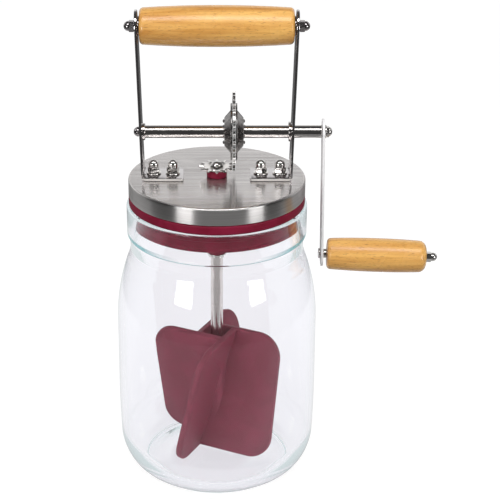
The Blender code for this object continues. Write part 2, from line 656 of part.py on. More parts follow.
def tooth_ring(radii, teeth, shares, start):
    """Outline of a toothed sheet; at each radius the tooth's width is a share of the pitch there."""
    points = []
    for tooth in range(teeth):
        middle = start + 2 * math.pi * tooth / teeth
        halves = [math.pi / teeth * share for share in shares]
        for radius, half in zip(radii, halves):
            points.append((radius * math.cos(middle - half), radius * math.sin(middle - half)))
        for radius, half in zip(radii[::-1], halves[::-1]):
            points.append((radius * math.cos(middle + half), radius * math.sin(middle + half)))
    return points


def like_ring(outline, radius):
    """Circle with a point at the same turn as each point of the outline, first point alike."""
    return [(radius * x / math.hypot(x, y), radius * y / math.hypot(x, y)) for x, y in outline]


def at_height(points, z):
    return [(x, y, z) for x, y in points]


def rivet_places():
    turns = [math.pi / 4 + 2 * math.pi * index / RIVET_COUNT for index in range(RIVET_COUNT)]
    return [(RIVET_CIRCLE * math.sin(turn), RIVET_CIRCLE * math.cos(turn)) for turn in turns]


def cut_rivet_holes(solid, name):
    length = WHEEL_SHEET + 2 * (DISC_HEIGHT + CUT_OVERRUN)
    turn = (0, math.pi / 2, 0)
    radius = RIVET_RADIUS + SEAT_GAP
    for index, (y, z) in enumerate(rivet_places()):
        place = (WHEEL_X, y, z)
        cut(solid, rod_cutter(f"{name}_hole_{index}", radius, length, place, turn, STEM_SIDES))


def make_toothed_wheel(steel, frame):
    """Thirty-tooth sheet between two dished discs, on a sleeve, held by four rivets."""
    shares = (WHEEL_TOOTH_ROOT_SHARE, WHEEL_TOOTH_MIDDLE_SHARE, WHEEL_TOOTH_TIP_SHARE)
    half_tooth = math.pi / WHEEL_TEETH
    root = WHEEL_PITCH_RADIUS - WHEEL_DEDENDUM
    tip = WHEEL_PITCH_RADIUS + WHEEL_ADDENDUM
    teeth = tooth_ring((root, (root + tip) / 2, tip), WHEEL_TEETH, shares, half_tooth)
    bore = like_ring(teeth, HUB_SLEEVE_RADIUS + SEAT_GAP)
    half = WHEEL_SHEET / 2
    sections = [at_height(bore, -half), at_height(teeth, -half)]
    sections += [at_height(teeth, half), at_height(bore, half)]
    shape = lofted(sections, closed=True)
    bmesh.ops.transform(shape, matrix=ALONG_X, verts=shape.verts)
    wheel = add_solid("toothed_wheel", shape, steel, frame, (WHEEL_X, 0, 0))
    cut_rivet_holes(wheel, "wheel")

    seat = half + SEAT_GAP
    face = seat + DISC_HEIGHT
    hole = AXLE_RADIUS + SEAT_GAP
    slope = (DISC_SHOULDER_RADIUS - DISC_FACE_RADIUS) / (DISC_HEIGHT - DISC_SHEET)
    inner_face = DISC_FACE_RADIUS - DISC_SHEET / 2 * slope / (1 + slope)
    inner_shoulder = DISC_SHOULDER_RADIUS - DISC_SHEET
    profile = [(hole, face), (DISC_FACE_RADIUS, face), (DISC_SHOULDER_RADIUS, seat + DISC_SHEET)]
    profile += [(DISC_RIM_RADIUS, seat + DISC_SHEET), (DISC_RIM_RADIUS, seat), (inner_shoulder, seat)]
    profile += [(inner_face, face - DISC_SHEET), (hole, face - DISC_SHEET)]
    for name, side in (("left", -1), ("right", 1)):
        turn = (0, side * math.pi / 2, 0)
        shape = turned(profile, GRIP_SIDES)
        disc = add_solid(f"hub_disc_{name}", shape, steel, frame, (WHEEL_X, 0, 0), turn)
        cut_rivet_holes(disc, disc.name)

    sleeve_end = face - DISC_SHEET - SEAT_GAP
    sleeve = tube(hole, HUB_SLEEVE_RADIUS, -sleeve_end, sleeve_end, ROD_SIDES)
    bmesh.ops.transform(sleeve, matrix=ALONG_X, verts=sleeve.verts)
    add_solid("hub_sleeve", sleeve, steel, frame, (WHEEL_X, 0, 0))

    head = face + SEAT_GAP
    tip = head + RIVET_HEAD_HEIGHT
    rivet = [(0, tip), (RIVET_HEAD_RADIUS / 2, tip), (RIVET_HEAD_RADIUS, head), (RIVET_RADIUS, head)]
    rivet += [(radius, -x) for radius, x in rivet[::-1]]
    for index, (y, z) in enumerate(rivet_places()):
        shape = turned_along_x(rivet, STEM_SIDES)
        add_solid(f"hub_rivet_{index + 1}", shape, steel, frame, (WHEEL_X, y, z))


def make_axle(steel, bright, frame, bush_end):
    cap_seat = bush_end + SEAT_GAP
    left_end = cap_seat + AXLE_CAP_DEPTH
    stud_end = arm_nut_seat() + stud_length(ARM_NUT_HEIGHT)
    profile = [(0, stud_end), (THREAD_RADIUS, stud_end), (THREAD_RADIUS, AXLE_END)]
    profile += [(AXLE_RADIUS, AXLE_END), (AXLE_RADIUS, -left_end), (0, -left_end)]
    add_solid("crank_axle", turned_along_x(profile, ROD_SIDES), steel, frame)
    bore = AXLE_RADIUS + SEAT_GAP
    cap_end = left_end + SEAT_GAP + AXLE_CAP_WALL
    cap_radius = bore + AXLE_CAP_RIM
    edge = cap_radius - AXLE_CAP_WALL / 2
    cap = [(0, -left_end - SEAT_GAP), (bore, -left_end - SEAT_GAP), (bore, -cap_seat)]
    cap += [(cap_radius, -cap_seat), (cap_radius, -cap_end + AXLE_CAP_WALL / 2)]
    cap += [(edge, -cap_end), (0, -cap_end)]
    add_solid("axle_end_cap", turned_along_x(cap, ROD_SIDES), bright, frame)


def arm_nut_seat():
    return ARM_FACE + ARM_SHEET + SEAT_GAP + WASHER_THICKNESS + SEAT_GAP


def make_crank_arm(steel, bright, frame):
    half = ARM_WIDTH / 2
    outline = arc((0, 0), (half, half), 0, 180, ARM_END_STEPS)
    outline += arc((0, -ARM_THROW), (half, half), 180, 360, ARM_END_STEPS)
    plate = extruded(outline, ARM_SHEET)
    bmesh.ops.transform(plate, matrix=Matrix.Rotation(math.pi / 2, 4, "X"), verts=plate.verts)
    bmesh.ops.transform(plate, matrix=Matrix.Rotation(math.pi / 2, 4, "Z"), verts=plate.verts)
    lean = math.radians(ARM_LEAN_DEG)
    middle = ARM_FACE + ARM_SHEET / 2
    hinge = add_empty("arm_lean", (middle, 0, 0), frame, (0, -lean, 0))
    arm = add_solid("crank_arm", plate, steel, hinge)
    turn = (0, math.pi / 2, 0)
    cut(arm, rod_cutter("arm_axle_hole", SCREW_HOLE_RADIUS, 2 * CUT_OVERRUN, (0, 0, 0), turn))
    spindle_hole = SPINDLE_RADIUS + RUNNING_GAP
    cut(arm, rod_cutter("arm_spindle_hole", spindle_hole, 2 * CUT_OVERRUN, (0, 0, -ARM_THROW), turn))
    washer_at = ARM_FACE + ARM_SHEET + SEAT_GAP
    washer_end = washer_at + WASHER_THICKNESS
    washer = tube(SCREW_HOLE_RADIUS, ARM_WASHER_RADIUS, washer_at, washer_end, ROD_SIDES)
    bmesh.ops.transform(washer, matrix=ALONG_X, verts=washer.verts)
    add_solid("arm_washer", washer, steel, frame)
    nut = acorn_nut(ARM_NUT_WALL, ARM_NUT_HEIGHT, ARM_NUT_HEX_HEIGHT, THREAD_RADIUS)
    bmesh.ops.transform(nut, matrix=ALONG_X, verts=nut.verts)
    add_solid("arm_nut", nut, bright, frame, (arm_nut_seat(), 0, 0))
    return (middle + ARM_THROW * math.sin(lean), 0, -ARM_THROW * math.cos(lean))


def make_spindle(wood, steel, bright, spindle_frame):
    """Everything here lies along the local X of the drooping spindle, from the arm's mid-plane."""
    tilt = math.radians(SPINDLE_DROOP_DEG + ARM_LEAN_DEG)
    face = ARM_SHEET / 2 + SEAT_GAP + SPINDLE_HEAD_RADIUS * math.tan(tilt)
    spacer_end = face + SPINDLE_SPACER_LENGTH
    grip_start = spacer_end + SEAT_GAP
    grip_end = grip_start + CRANK_GRIP_LENGTH
    nut_seat = grip_end + SEAT_GAP
    tip = nut_seat + stud_length(SPINDLE_NUT_HEIGHT)
    head_end = -face - SPINDLE_HEAD_HEIGHT
    profile = [(0, tip), (SPINDLE_RADIUS, tip), (SPINDLE_RADIUS, -face), (SPINDLE_HEAD_RADIUS, -face)]
    profile += [(SPINDLE_HEAD_RADIUS - SPINDLE_HEAD_HEIGHT / 2, head_end), (0, head_end)]
    add_solid("grip_spindle", turned_along_x(profile, ROD_SIDES), steel, spindle_frame)
    bore = SPINDLE_RADIUS + RUNNING_GAP
    spacer = tube(bore, SPINDLE_SPACER_RADIUS, face, spacer_end, ROD_SIDES)
    bmesh.ops.transform(spacer, matrix=ALONG_X, verts=spacer.verts)
    add_solid("spindle_spacer", spacer, steel, spindle_frame)
    nut = acorn_nut(SPINDLE_NUT_WALL, SPINDLE_NUT_HEIGHT, NUT_HEX_HEIGHT, SPINDLE_RADIUS)
    bmesh.ops.transform(nut, matrix=ALONG_X, verts=nut.verts)
    add_solid("spindle_nut", nut, bright, spindle_frame, (nut_seat, 0, 0))
    radii = (CRANK_GRIP_RADIUS, CRANK_GRIP_END_RADIUS)
    profile = grip_profile(CRANK_GRIP_LENGTH, *radii, bore, CRANK_GRIP_FAR_ROUND)
    grip = turned_along_x(profile, GRIP_SIDES)
    add_solid("crank_grip", grip, wood, spindle_frame, (grip_start, 0, 0))


def make_star(steel, bright, frame):
    """Twelve-tooth star, its teeth raised above a dished middle, and the cap nut that holds it."""
    shares = (STAR_TOOTH_ROOT_SHARE, STAR_TOOTH_TIP_SHARE)
    radii = (STAR_PITCH_RADIUS - STAR_DEDENDUM, STAR_PITCH_RADIUS + STAR_ADDENDUM)
    teeth = tooth_ring(radii, STAR_TEETH, shares, 0.0)
    rings = [like_ring(teeth, SCREW_HOLE_RADIUS), like_ring(teeth, STAR_DISH_RADIUS)]
    rings.append(like_ring(teeth, STAR_DISH_RADIUS + STAR_DISH_WIDTH))
    raised = STAR_BOTTOM + STAR_DISH
    levels = (STAR_BOTTOM, STAR_BOTTOM, raised, raised)
    under = [at_height(ring, z) for ring, z in zip(rings + [teeth], levels)]
    over = [at_height(ring, z + STAR_SHEET) for ring, z in zip(rings + [teeth], levels)]
    add_solid("star_pinion", lofted(under + over[::-1], closed=True), steel, frame)
    seat = STAR_BOTTOM + STAR_SHEET + SEAT_GAP
    nut = acorn_nut(STAR_NUT_WALL, STAR_NUT_HEIGHT, STAR_NUT_HEX_HEIGHT, THREAD_RADIUS)
    add_solid("star_nut", nut, bright, frame, (0, 0, seat))
    return seat + stud_length(STAR_NUT_HEIGHT)


def make_shaft(steel, frame, stud_end):
    washer_top = LOWER_BUSH_BOTTOM - SEAT_GAP
    clip_top = washer_top - THRUST_WASHER_THICKNESS - SEAT_GAP
    groove_top = clip_top + SEAT_GAP
    groove_bottom = clip_top - CLIP_THICKNESS - SEAT_GAP
    groove = SHAFT_RADIUS - CLIP_GROOVE_DEPTH
    shaft_end = SOCKET_BOTTOM + SEAT_GAP
    profile = [(0, stud_end), (THREAD_RADIUS, stud_end), (THREAD_RADIUS, BUSH_TOP)]
    profile += [(SHAFT_RADIUS, BUSH_TOP), (SHAFT_RADIUS, groove_top), (groove, groove_top)]
    profile += [(groove, groove_bottom), (SHAFT_RADIUS, groove_bottom), (SHAFT_RADIUS, shaft_end)]
    profile.append((0, shaft_end))
    add_solid("dasher_shaft", turned(profile, ROD_SIDES), steel, frame)
    washer_bottom = washer_top - THRUST_WASHER_THICKNESS
    washer_radius = SHAFT_BORE + THRUST_WASHER_WIDTH
    washer = tube(SHAFT_BORE, washer_radius, washer_bottom, washer_top, ROD_SIDES)
    add_solid("thrust_washer", washer, steel, frame)
    sections = []
    mouth = math.radians(CLIP_MOUTH_DEG) / 2
    inner = groove + SEAT_GAP
    outer = inner + CLIP_WIDTH
    for step in range(CLIP_STEPS + 1):
        turn = mouth + (2 * math.pi - 2 * mouth) * step / CLIP_STEPS
        around = (math.cos(turn), math.sin(turn))
        corners = ((inner, clip_top), (outer, clip_top))
        corners += ((outer, clip_top - CLIP_THICKNESS), (inner, clip_top - CLIP_THICKNESS))
        sections.append([(radius * around[0], radius * around[1], z) for radius, z in corners])
    add_solid("retaining_ring", lofted(sections), steel, frame)


def blade_outline():
    """One blade in its own plane: x runs out from the shaft, y up the slope from mid-height."""
    pitch = math.radians(PADDLE_PITCH_DEG)
    half = PADDLE_HEIGHT / 2 / math.cos(pitch)
    core = half * math.sin(pitch)
    bottom = (PADDLE_RADIUS - PADDLE_BOTTOM_ROUND, -half + PADDLE_BOTTOM_ROUND)
    top = (PADDLE_RADIUS - PADDLE_TOP_ROUND, half - PADDLE_TOP_ROUND)
    bottom_radii = (PADDLE_BOTTOM_ROUND, PADDLE_BOTTOM_ROUND)
    top_radii = (PADDLE_TOP_ROUND, PADDLE_TOP_ROUND)
    outline = [(-core, -half)] + arc(bottom, bottom_radii, -90, 0, PADDLE_ROUND_STEPS)
    return outline + arc(top, top_radii, 0, 90, PADDLE_ROUND_STEPS) + [(-core, half), (0, 0)]


def make_paddle(silicone, frame):
    """Four flat blades, each pitched about its own radial line, that cross in a core round a hub.
    Seen from above, a blade's top lies further counter-clockwise than its foot."""
    hub_radius = SHAFT_BORE + PADDLE_HUB_WALL
    hub_profile = [(0, HUB_TOP), (hub_radius, HUB_TOP), (hub_radius, HUB_BOTTOM), (0, HUB_BOTTOM)]
    paddle = add_solid("butter_paddle", turned(hub_profile, GRIP_SIDES), silicone, frame)
    upright = Matrix.Rotation(math.pi / 2 - math.radians(PADDLE_PITCH_DEG), 4, "X")
    lift = Matrix.Translation((0, 0, (PADDLE_BOTTOM + PADDLE_TOP) / 2))
    for blade in range(PADDLE_BLADES):
        shape = extruded(blade_outline(), PADDLE_SHEET)
        turn = math.radians(PADDLE_TURN_DEG) + 2 * math.pi * blade / PADDLE_BLADES
        around = Matrix.Rotation(turn, 4, "Z")
        bmesh.ops.transform(shape, matrix=lift @ around @ upright, verts=shape.verts)
        join(paddle, add_solid(f"blade_{blade}", shape, None))
    depth = HUB_TOP - SOCKET_BOTTOM
    place = (0, 0, SOCKET_BOTTOM + (depth + CUT_OVERRUN) / 2)
    cut(paddle, rod_cutter("shaft_socket", SHAFT_BORE, depth + CUT_OVERRUN, place, sides=ROD_SIDES))


def main():
    clear_scene()
    glass = make_material("glass", (0.93, 0.97, 0.96), 0.03, 0.0, 1.0)
    brushed = make_material("brushed_steel", (0.66, 0.65, 0.64), 0.32, 1.0)
    bright = make_material("bright_steel", (0.80, 0.79, 0.78), 0.14, 1.0)
    gear_steel = make_material("gear_steel", (0.58, 0.57, 0.56), 0.28, 1.0)
    silicone = make_material("burgundy_silicone", (0.20, 0.008, 0.030), 0.42, 0.0)
    wood = make_material("beech_wood", (0.76, 0.42, 0.13), 0.45, 0.0)

    make_jar(glass)

    lid_frame = add_empty("lid_frame", (0, 0, 0))
    make_lid(brushed, lid_frame)
    make_seal(silicone, lid_frame)
    make_shaft_bushes(silicone, lid_frame)
    make_strap("left_strap", -1, bright, lid_frame)
    make_strap("right_strap", 1, bright, lid_frame)
    make_foot_fasteners(bright, lid_frame)
    make_handle(wood, brushed, bright, lid_frame)
    bush_end = make_axle_bushes(brushed, lid_frame)

    crank_frame = add_empty("crank_frame", (0, 0, AXLE_Z), lid_frame)
    make_toothed_wheel(gear_steel, crank_frame)
    make_axle(brushed, bright, crank_frame, bush_end)
    spindle_place = make_crank_arm(brushed, bright, crank_frame)
    droop = math.radians(SPINDLE_DROOP_DEG)
    spindle_frame = add_empty("spindle_frame", spindle_place, crank_frame, (0, droop, 0))
    make_spindle(wood, brushed, bright, spindle_frame)

    dasher_frame = add_empty("dasher_frame", (0, 0, 0), lid_frame)
    stud_end = make_star(gear_steel, bright, dasher_frame)
    make_shaft(brushed, dasher_frame, stud_end)
    make_paddle(silicone, dasher_frame)


main()
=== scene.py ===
from math import ceil, cos, hypot, pi, radians, sin, tan

import bmesh
import bpy
from mathutils import Matrix, Vector


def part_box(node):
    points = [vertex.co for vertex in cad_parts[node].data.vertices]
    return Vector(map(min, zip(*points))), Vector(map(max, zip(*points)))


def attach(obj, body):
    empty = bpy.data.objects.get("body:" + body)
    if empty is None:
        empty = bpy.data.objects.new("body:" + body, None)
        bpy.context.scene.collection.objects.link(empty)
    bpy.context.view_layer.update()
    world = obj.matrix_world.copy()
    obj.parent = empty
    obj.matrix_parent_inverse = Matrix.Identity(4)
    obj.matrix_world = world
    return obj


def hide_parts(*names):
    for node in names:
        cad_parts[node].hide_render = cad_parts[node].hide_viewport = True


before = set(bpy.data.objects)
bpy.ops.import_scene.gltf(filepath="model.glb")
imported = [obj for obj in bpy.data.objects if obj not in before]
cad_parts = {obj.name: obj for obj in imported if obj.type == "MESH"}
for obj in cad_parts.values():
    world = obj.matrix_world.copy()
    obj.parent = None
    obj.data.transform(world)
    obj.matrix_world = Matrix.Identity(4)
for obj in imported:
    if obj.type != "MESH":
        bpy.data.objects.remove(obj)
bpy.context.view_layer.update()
scene = bpy.context.scene
print("frame loaded:", len(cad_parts), "nodes")

seatGap = 0.0003                                # clearance between pieces that touch
hairEdge, fineEdge, crispEdge, easedEdge = 0.0001, 0.0002, 0.0003, 0.0004    # rounds of small edges
screwBore = 0.0023                              # clears the 4 mm screws and rods
drillLength, boringReach = 0.006, 1.2           # the second in lengths of the bored grip
rodSides, smallSides = 72, 64                   # faces round a rod, round a washer or bush
usualSharp = radians(30)                        # edges sharper than this are drawn sharp
mergeDistance, weldDistance = 0.0000002, 0.000001
onAxis = 0.0000005                              # a radius below this is a pole


# Shared modelling helpers


def filleted(corners, closed=False, turnStep=radians(10)):
    # Corners are (x, y) or (x, y, radius); each radius becomes an arc
    points = []
    for index, corner in enumerate(corners):
        here = Vector(corner[:2])
        radius = corner[2] if len(corner) > 2 else 0
        isEnd = not closed and index in (0, len(corners) - 1)
        if isEnd or radius == 0:
            points.append(tuple(here))
            continue
        before = (Vector(corners[index - 1][:2]) - here).normalized()
        after = (Vector(corners[(index + 1) % len(corners)][:2]) - here).normalized()
        half = before.angle(after) / 2
        turn = pi - 2 * half
        centre = here + (before + after).normalized() * radius / sin(half)
        spoke = here + before * radius / tan(half) - centre
        side = 1 if before.y * after.x - before.x * after.y > 0 else -1
        steps = max(2, ceil(turn / turnStep))
        for step in range(steps + 1):
            points.append(tuple(centre + Matrix.Rotation(side * turn * step / steps, 2) @ spoke))
    return points


def curveBetween(start, end, rule, steps):
    # Points from start to end in height, with the radius given by a rule of the height
    return [(rule(z), z) for z in (start + (end - start) * step / steps for step in range(steps + 1))]


def turnedShape(profile, sides=96):
    # Solid of revolution about Z from (radius, height) points
    shape = bmesh.new()
    rings = []
    for radius, height in profile:
        if radius < onAxis:
            rings.append([shape.verts.new((0, 0, height))])
            continue
        turns = [2 * pi * step / sides for step in range(sides)]
        rings.append([shape.verts.new((radius * cos(a), radius * sin(a), height)) for a in turns])
    pairs = list(zip(rings, rings[1:]))
    if len(rings[0]) > 1 and len(rings[-1]) > 1:
        pairs.append((rings[-1], rings[0]))
    for lower, upper in pairs:
        for here in range(sides):
            there = (here + 1) % sides
            corners = (lower[here % len(lower)], lower[there % len(lower)])
            corners += (upper[there % len(upper)], upper[here % len(upper)])
            shape.faces.new(list(dict.fromkeys(corners)))
    return shape


def loftedShape(sections, closed=False):
    shape = bmesh.new()
    loops = [[shape.verts.new(point) for point in section] for section in sections]
    following = loops[1:] + loops[:1] if closed else loops[1:]
    for lower, upper in zip(loops, following):
        for here in range(len(lower)):
            there = (here + 1) % len(lower)
            shape.faces.new((lower[here], lower[there], upper[there], upper[here]))
    if not closed:
        shape.faces.new(loops[0])
        shape.faces.new(loops[-1])
    return shape


def plateShape(outline, depth, edgeRound, segments=2):
    # Flat plate in XY, centred on its mid-plane, with its edges rounded
    shape = bmesh.new()
    face = shape.faces.new([shape.verts.new((x, y, -depth / 2)) for x, y in outline])
    grown = bmesh.ops.extrude_face_region(shape, geom=[face])
    upper = [item for item in grown["geom"] if isinstance(item, bmesh.types.BMVert)]
    bmesh.ops.translate(shape, vec=(0, 0, depth), verts=upper)
    bmesh.ops.recalc_face_normals(shape, faces=shape.faces)
    roundEdges(shape, edgeRound, segments)
    return shape


def roundEdges(shape, width, segments=2, sharpest=radians(40)):
    edges = [e for e in shape.edges if len(e.link_faces) == 2 and e.calc_face_angle(0) > sharpest]
    bmesh.ops.bevel(shape, geom=edges, offset=width, segments=segments, profile=0.5, affect="EDGES")


def moved(shape, *matrices):
    for matrix in matrices:
        bmesh.ops.transform(shape, matrix=matrix, verts=shape.verts)
    return shape


def shift(x, y, z):
    return Matrix.Translation((x, y, z))


alongX = Matrix.Rotation(pi / 2, 4, "Y")         # turns a shape made about Z to lie about X


def newPiece(name, shape, material, sharpAngle=usualSharp):
    bmesh.ops.remove_doubles(shape, verts=shape.verts, dist=mergeDistance)
    bmesh.ops.recalc_face_normals(shape, faces=shape.faces)
    mesh = bpy.data.meshes.new(name)
    shape.to_mesh(mesh)
    shape.free()
    mesh.shade_smooth()
    mesh.set_sharp_from_angle(angle=sharpAngle)
    mesh.materials.append(material)
    piece = bpy.data.objects.new(name, mesh)
    scene.collection.objects.link(piece)
    return piece


def settle(piece, sharpAngle=usualSharp):
    # Turns the piece with its modifiers into a plain mesh
    bpy.context.view_layer.update()
    graph = bpy.context.evaluated_depsgraph_get()
    mesh = bpy.data.meshes.new_from_object(piece.evaluated_get(graph), depsgraph=graph)
    piece.modifiers.clear()
    piece.data = mesh
    mesh.shade_smooth()
    mesh.set_sharp_from_angle(angle=sharpAngle)
    return piece


def combine(piece, other, operation):
    modifier = piece.modifiers.new("joint", "BOOLEAN")
    modifier.operation = operation
    modifier.solver = "EXACT"
    modifier.object = other
    settle(piece)
    bpy.data.objects.remove(other, do_unlink=True)


def drill(piece, radius, *matrices, sides=32, length=drillLength):
    shape = turnedShape([(0, length / 2), (radius, length / 2), (radius, -length / 2), (0, -length / 2)], sides)
    combine(piece, newPiece("drill", moved(shape, *matrices), piece.data.materials[0]), "DIFFERENCE")


def place(piece, body, slot, *nodes):
    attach(piece, body)
    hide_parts(*nodes)


def dress(node, shape, material, body, slot, sharpAngle=usualSharp):
    # One shape as a piece, named after the CAD node that it replaces
    first, *others = node.split("_")
    name = first + "".join(word.capitalize() for word in others)
    place(newPiece(name, shape, material, sharpAngle), body, slot, node)


def fill(tree, node, values):
    # Values are constants, or sockets to link from
    for key, value in values.items():
        if isinstance(value, bpy.types.NodeSocket):
            tree.links.new(value, node.inputs[key])
        else:
            node.inputs[key].default_value = value
    return node


def addNode(tree, kind, values=None, **settings):
    node = tree.nodes.new(kind)
    for key, value in settings.items():
        setattr(node, key, value)
    return fill(tree, node, values or {})


def calc(tree, operation, *values):
    kind = "ShaderNodeMath"
    return addNode(tree, kind, dict(enumerate(values)), operation=operation).outputs[0]


def plus(tree, first, second):
    return calc(tree, "ADD", first, second)


def minus(tree, first, second):
    return calc(tree, "SUBTRACT", first, second)


def times(tree, first, second):
    return calc(tree, "MULTIPLY", first, second)


def combineXYZ(tree, x=0.0, y=0.0, z=0.0):
    return addNode(tree, "ShaderNodeCombineXYZ", {"X": x, "Y": y, "Z": z}).outputs[0]


def calcVector(tree, operation, *values):
    kind = "ShaderNodeVectorMath"
    return addNode(tree, kind, dict(enumerate(values)), operation=operation).outputs[0]


def spread(tree, value, low, high, newLow, newHigh):
    # Map Range, clamped
    values = {"Value": value, "From Min": low, "From Max": high, "To Min": newLow, "To Max": newHigh}
    return addNode(tree, "ShaderNodeMapRange", values).outputs["Result"]


def blendColour(tree, factor, first, second):
    # Sockets by number, as a mix node has others of the same names for its other data types
    return addNode(tree, "ShaderNodeMix", {0: factor, 6: first, 7: second}, data_type="RGBA").outputs[2]


# Shader groups that several finishes share


socketKinds = {float: "Float", int: "Int", tuple: "Vector"}
noiseRange, patchRange, edgeRange = (0.3, 0.7), (0.42, 0.66), (0.5, 0.6)    # of the values that masks start from


def addSockets(tree, direction, sockets):
    # A socket's kind is named, or follows from its first value
    for label, value in sockets.items():
        isNamed = isinstance(value, str)
        kind = "NodeSocket" + (value if isNamed else socketKinds[type(value)])
        socket = tree.interface.new_socket(label, in_out=direction, socket_type=kind)
        if not isNamed:
            socket.default_value = value


def newGroup(name, inputs, outputs):
    tree = bpy.data.node_groups.new(name, "ShaderNodeTree")
    addSockets(tree, "INPUT", inputs)
    addSockets(tree, "OUTPUT", outputs)
    return tree, tree.nodes.new("NodeGroupInput").outputs, tree.nodes.new("NodeGroupOutput").inputs


def makeGrainGroup():
    # Fine parallel marks; Stretch sets how often they repeat along each axis, per metre
    inputs = {"Vector": (0, 0, 0), "Stretch": (5, 900, 900), "Depth": 0.1}
    tree, given, result = newGroup("fine grain", inputs, {"Mask": "Float", "Normal": "Vector"})
    stretched = calcVector(tree, "MULTIPLY", given["Vector"], given["Stretch"])
    values = {"Vector": stretched, "Scale": 1.0, "Detail": 4.0, "Roughness": 0.65}
    noise = addNode(tree, "ShaderNodeTexNoise", values).outputs[0]
    mask = spread(tree, noise, *noiseRange, 0.0, 1.0)
    values = {"Strength": given["Depth"], "Distance": 0.00008, "Height": mask}
    tree.links.new(mask, result["Mask"])
    tree.links.new(addNode(tree, "ShaderNodeBump", values).outputs[0], result["Normal"])
    return tree


def makePatchGroup():
    # Soft uneven patches, such as the marks that handling leaves
    inputs = {"Vector": (0, 0, 0), "Scale": 60.0}
    tree, given, result = newGroup("soft patches", inputs, {"Mask": "Float"})
    values = {"Vector": given["Vector"], "Scale": given["Scale"], "Detail": 3.0, "Distortion": 0.6}
    noise = addNode(tree, "ShaderNodeTexNoise", values).outputs[0]
    tree.links.new(spread(tree, noise, *patchRange, 0.0, 1.0), result["Mask"])
    return tree


def makeWearAndHighlightGroup():
    # Lighter metal on convex edges: partly real edge wear, partly a painted highlight
    tree, given, result = newGroup("edge wear", {"Amount": 1.0}, {"Mask": "Float"})
    pointiness = addNode(tree, "ShaderNodeNewGeometry").outputs["Pointiness"]
    edge = spread(tree, pointiness, *edgeRange, 0.0, 1.0)
    tree.links.new(times(tree, edge, given["Amount"]), result["Mask"])
    return tree


grainGroup = makeGrainGroup()
patchGroup = makePatchGroup()
wearAndHighlightGroup = makeWearAndHighlightGroup()


def useGroup(tree, group, values):
    return addNode(tree, "ShaderNodeGroup", values, node_tree=group).outputs


def grainAt(tree, coordinates, stretch, depth):
    return useGroup(tree, grainGroup, {"Vector": coordinates, "Stretch": stretch, "Depth": depth})


def patchesAt(tree, coordinates, scale):
    return useGroup(tree, patchGroup, {"Vector": coordinates, "Scale": scale})["Mask"]


# Finishes


def newMaterial(name, roughness, metallic):
    material = bpy.data.materials.new(name)
    material.use_nodes = True
    tree = material.node_tree
    shader = fill(tree, tree.nodes["Principled BSDF"], {"Roughness": roughness, "Metallic": metallic})
    coordinates = addNode(tree, "ShaderNodeTexCoord").outputs["Object"]
    return material, tree, shader, coordinates


steelTraits = ("colour", "darkShare", "roughness", "grain", "depth", "patchScale", "smudge", "wear")
steelLooks = {
    "lidTop": ((0.86, 0.825, 0.815), 0.70, 0.20, (9, 1300, 9), 0.08, 30, 0.04, 0.0),
    "lidSkirt": ((0.70, 0.68, 0.67), 0.78, 0.30, (9, 9, 1500), 0.08, 30, 0.04, 0.0),
    "strapSteel": ((0.62, 0.595, 0.60), 0.92, 0.11, (500, 9, 9), 0.03, 70, 0.06, 0.2),
    # Near white and mostly non-metal: a painted reflection standing in for the brushed arm's bright sheen
    "armSteelPaintedReflection": ((0.98, 0.97, 0.975), 0.96, 0.62, (500, 9, 9), 0.04, 70, 0.06, 0.0),
    # A darker copy of the nut steel: painted shade on the handle's nuts and washers and the axle's end cap
    "endSteelPaintedShade": ((0.40, 0.375, 0.38), 0.90, 0.12, (300, 300, 300), 0.02, 180, 0.06, 0.2),
    "nutSteel": ((0.74, 0.72, 0.70), 0.95, 0.09, (300, 300, 300), 0.02, 180, 0.06, 0.2),
    "axleSteel": ((0.68, 0.65, 0.635), 0.88, 0.12, (1200, 6, 6), 0.05, 60, 0.07, 0.3),
    "shaftSteel": ((0.80, 0.755, 0.73), 0.72, 0.16, (6, 6, 1200), 0.06, 60, 0.06, 0.3),
    "starSteel": ((0.86, 0.83, 0.80), 0.75, 0.14, (300, 300, 300), 0.05, 160, 0.06, 0.6),
    # A lighter, rougher copy of the strap steel for the feet's front and back edges: a painted highlight
    "edgeSteelPaintedHighlight": ((0.92, 0.89, 0.86), 0.88, 0.58, (9, 300, 900), 0.04, 70, 0.06, 0.0),
    "gearSteel": ((0.36, 0.35, 0.34), 0.45, 0.20, (200, 700, 700), 0.16, 160, 0.14, 1.6),
    "discSteel": ((0.36, 0.345, 0.34), 0.35, 0.20, (260, 520, 520), 0.30, 140, 0.12, 0.8),
}
brushedTangents = {"lidTop": (0, 1, 0), "lidSkirt": (0, 0, 1)}    # these two are anisotropic
metalShares = {"armSteelPaintedReflection": 0.10}                                  # the others are all metal
# How much lighter the convex edges get, as real wear and painted highlight
wornAndLitGain = 1.25
roughShares = (1.15, 0.88)                                        # in the grain's hollows, on its ridges


def makeSteel(name):
    look = dict(zip(steelTraits, steelLooks[name]))
    material, tree, shader, coordinates = newMaterial(name, look["roughness"], metalShares.get(name, 1.0))
    grain = grainAt(tree, coordinates, look["grain"], look["depth"])
    patches = patchesAt(tree, coordinates, look["patchScale"])
    # Convex edges are lightened: partly real wear, partly a painted highlight, strongest on the toothed wheel
    wear = useGroup(tree, wearAndHighlightGroup, {"Amount": look["wear"]})["Mask"]
    dark = tuple(channel * look["darkShare"] for channel in look["colour"]) + (1,)
    wornAndLit = tuple(min(1, channel * wornAndLitGain) for channel in look["colour"]) + (1,)
    colour = blendColour(tree, grain["Mask"], dark, look["colour"] + (1,))
    colour = blendColour(tree, wear, colour, wornAndLit)
    hollow, ridge = (look["roughness"] * share for share in roughShares)
    rough = spread(tree, grain["Mask"], 0, 1, hollow, ridge)
    rough = plus(tree, rough, times(tree, patches, look["smudge"]))
    fill(tree, shader, {"Base Color": colour, "Roughness": rough, "Normal": grain["Normal"]})
    if name in brushedTangents:
        tangent = combineXYZ(tree, *brushedTangents[name])
        fill(tree, shader, {"Anisotropic": 1.0, "Tangent": tangent})
    return material


steel = {name: makeSteel(name) for name in steelLooks}

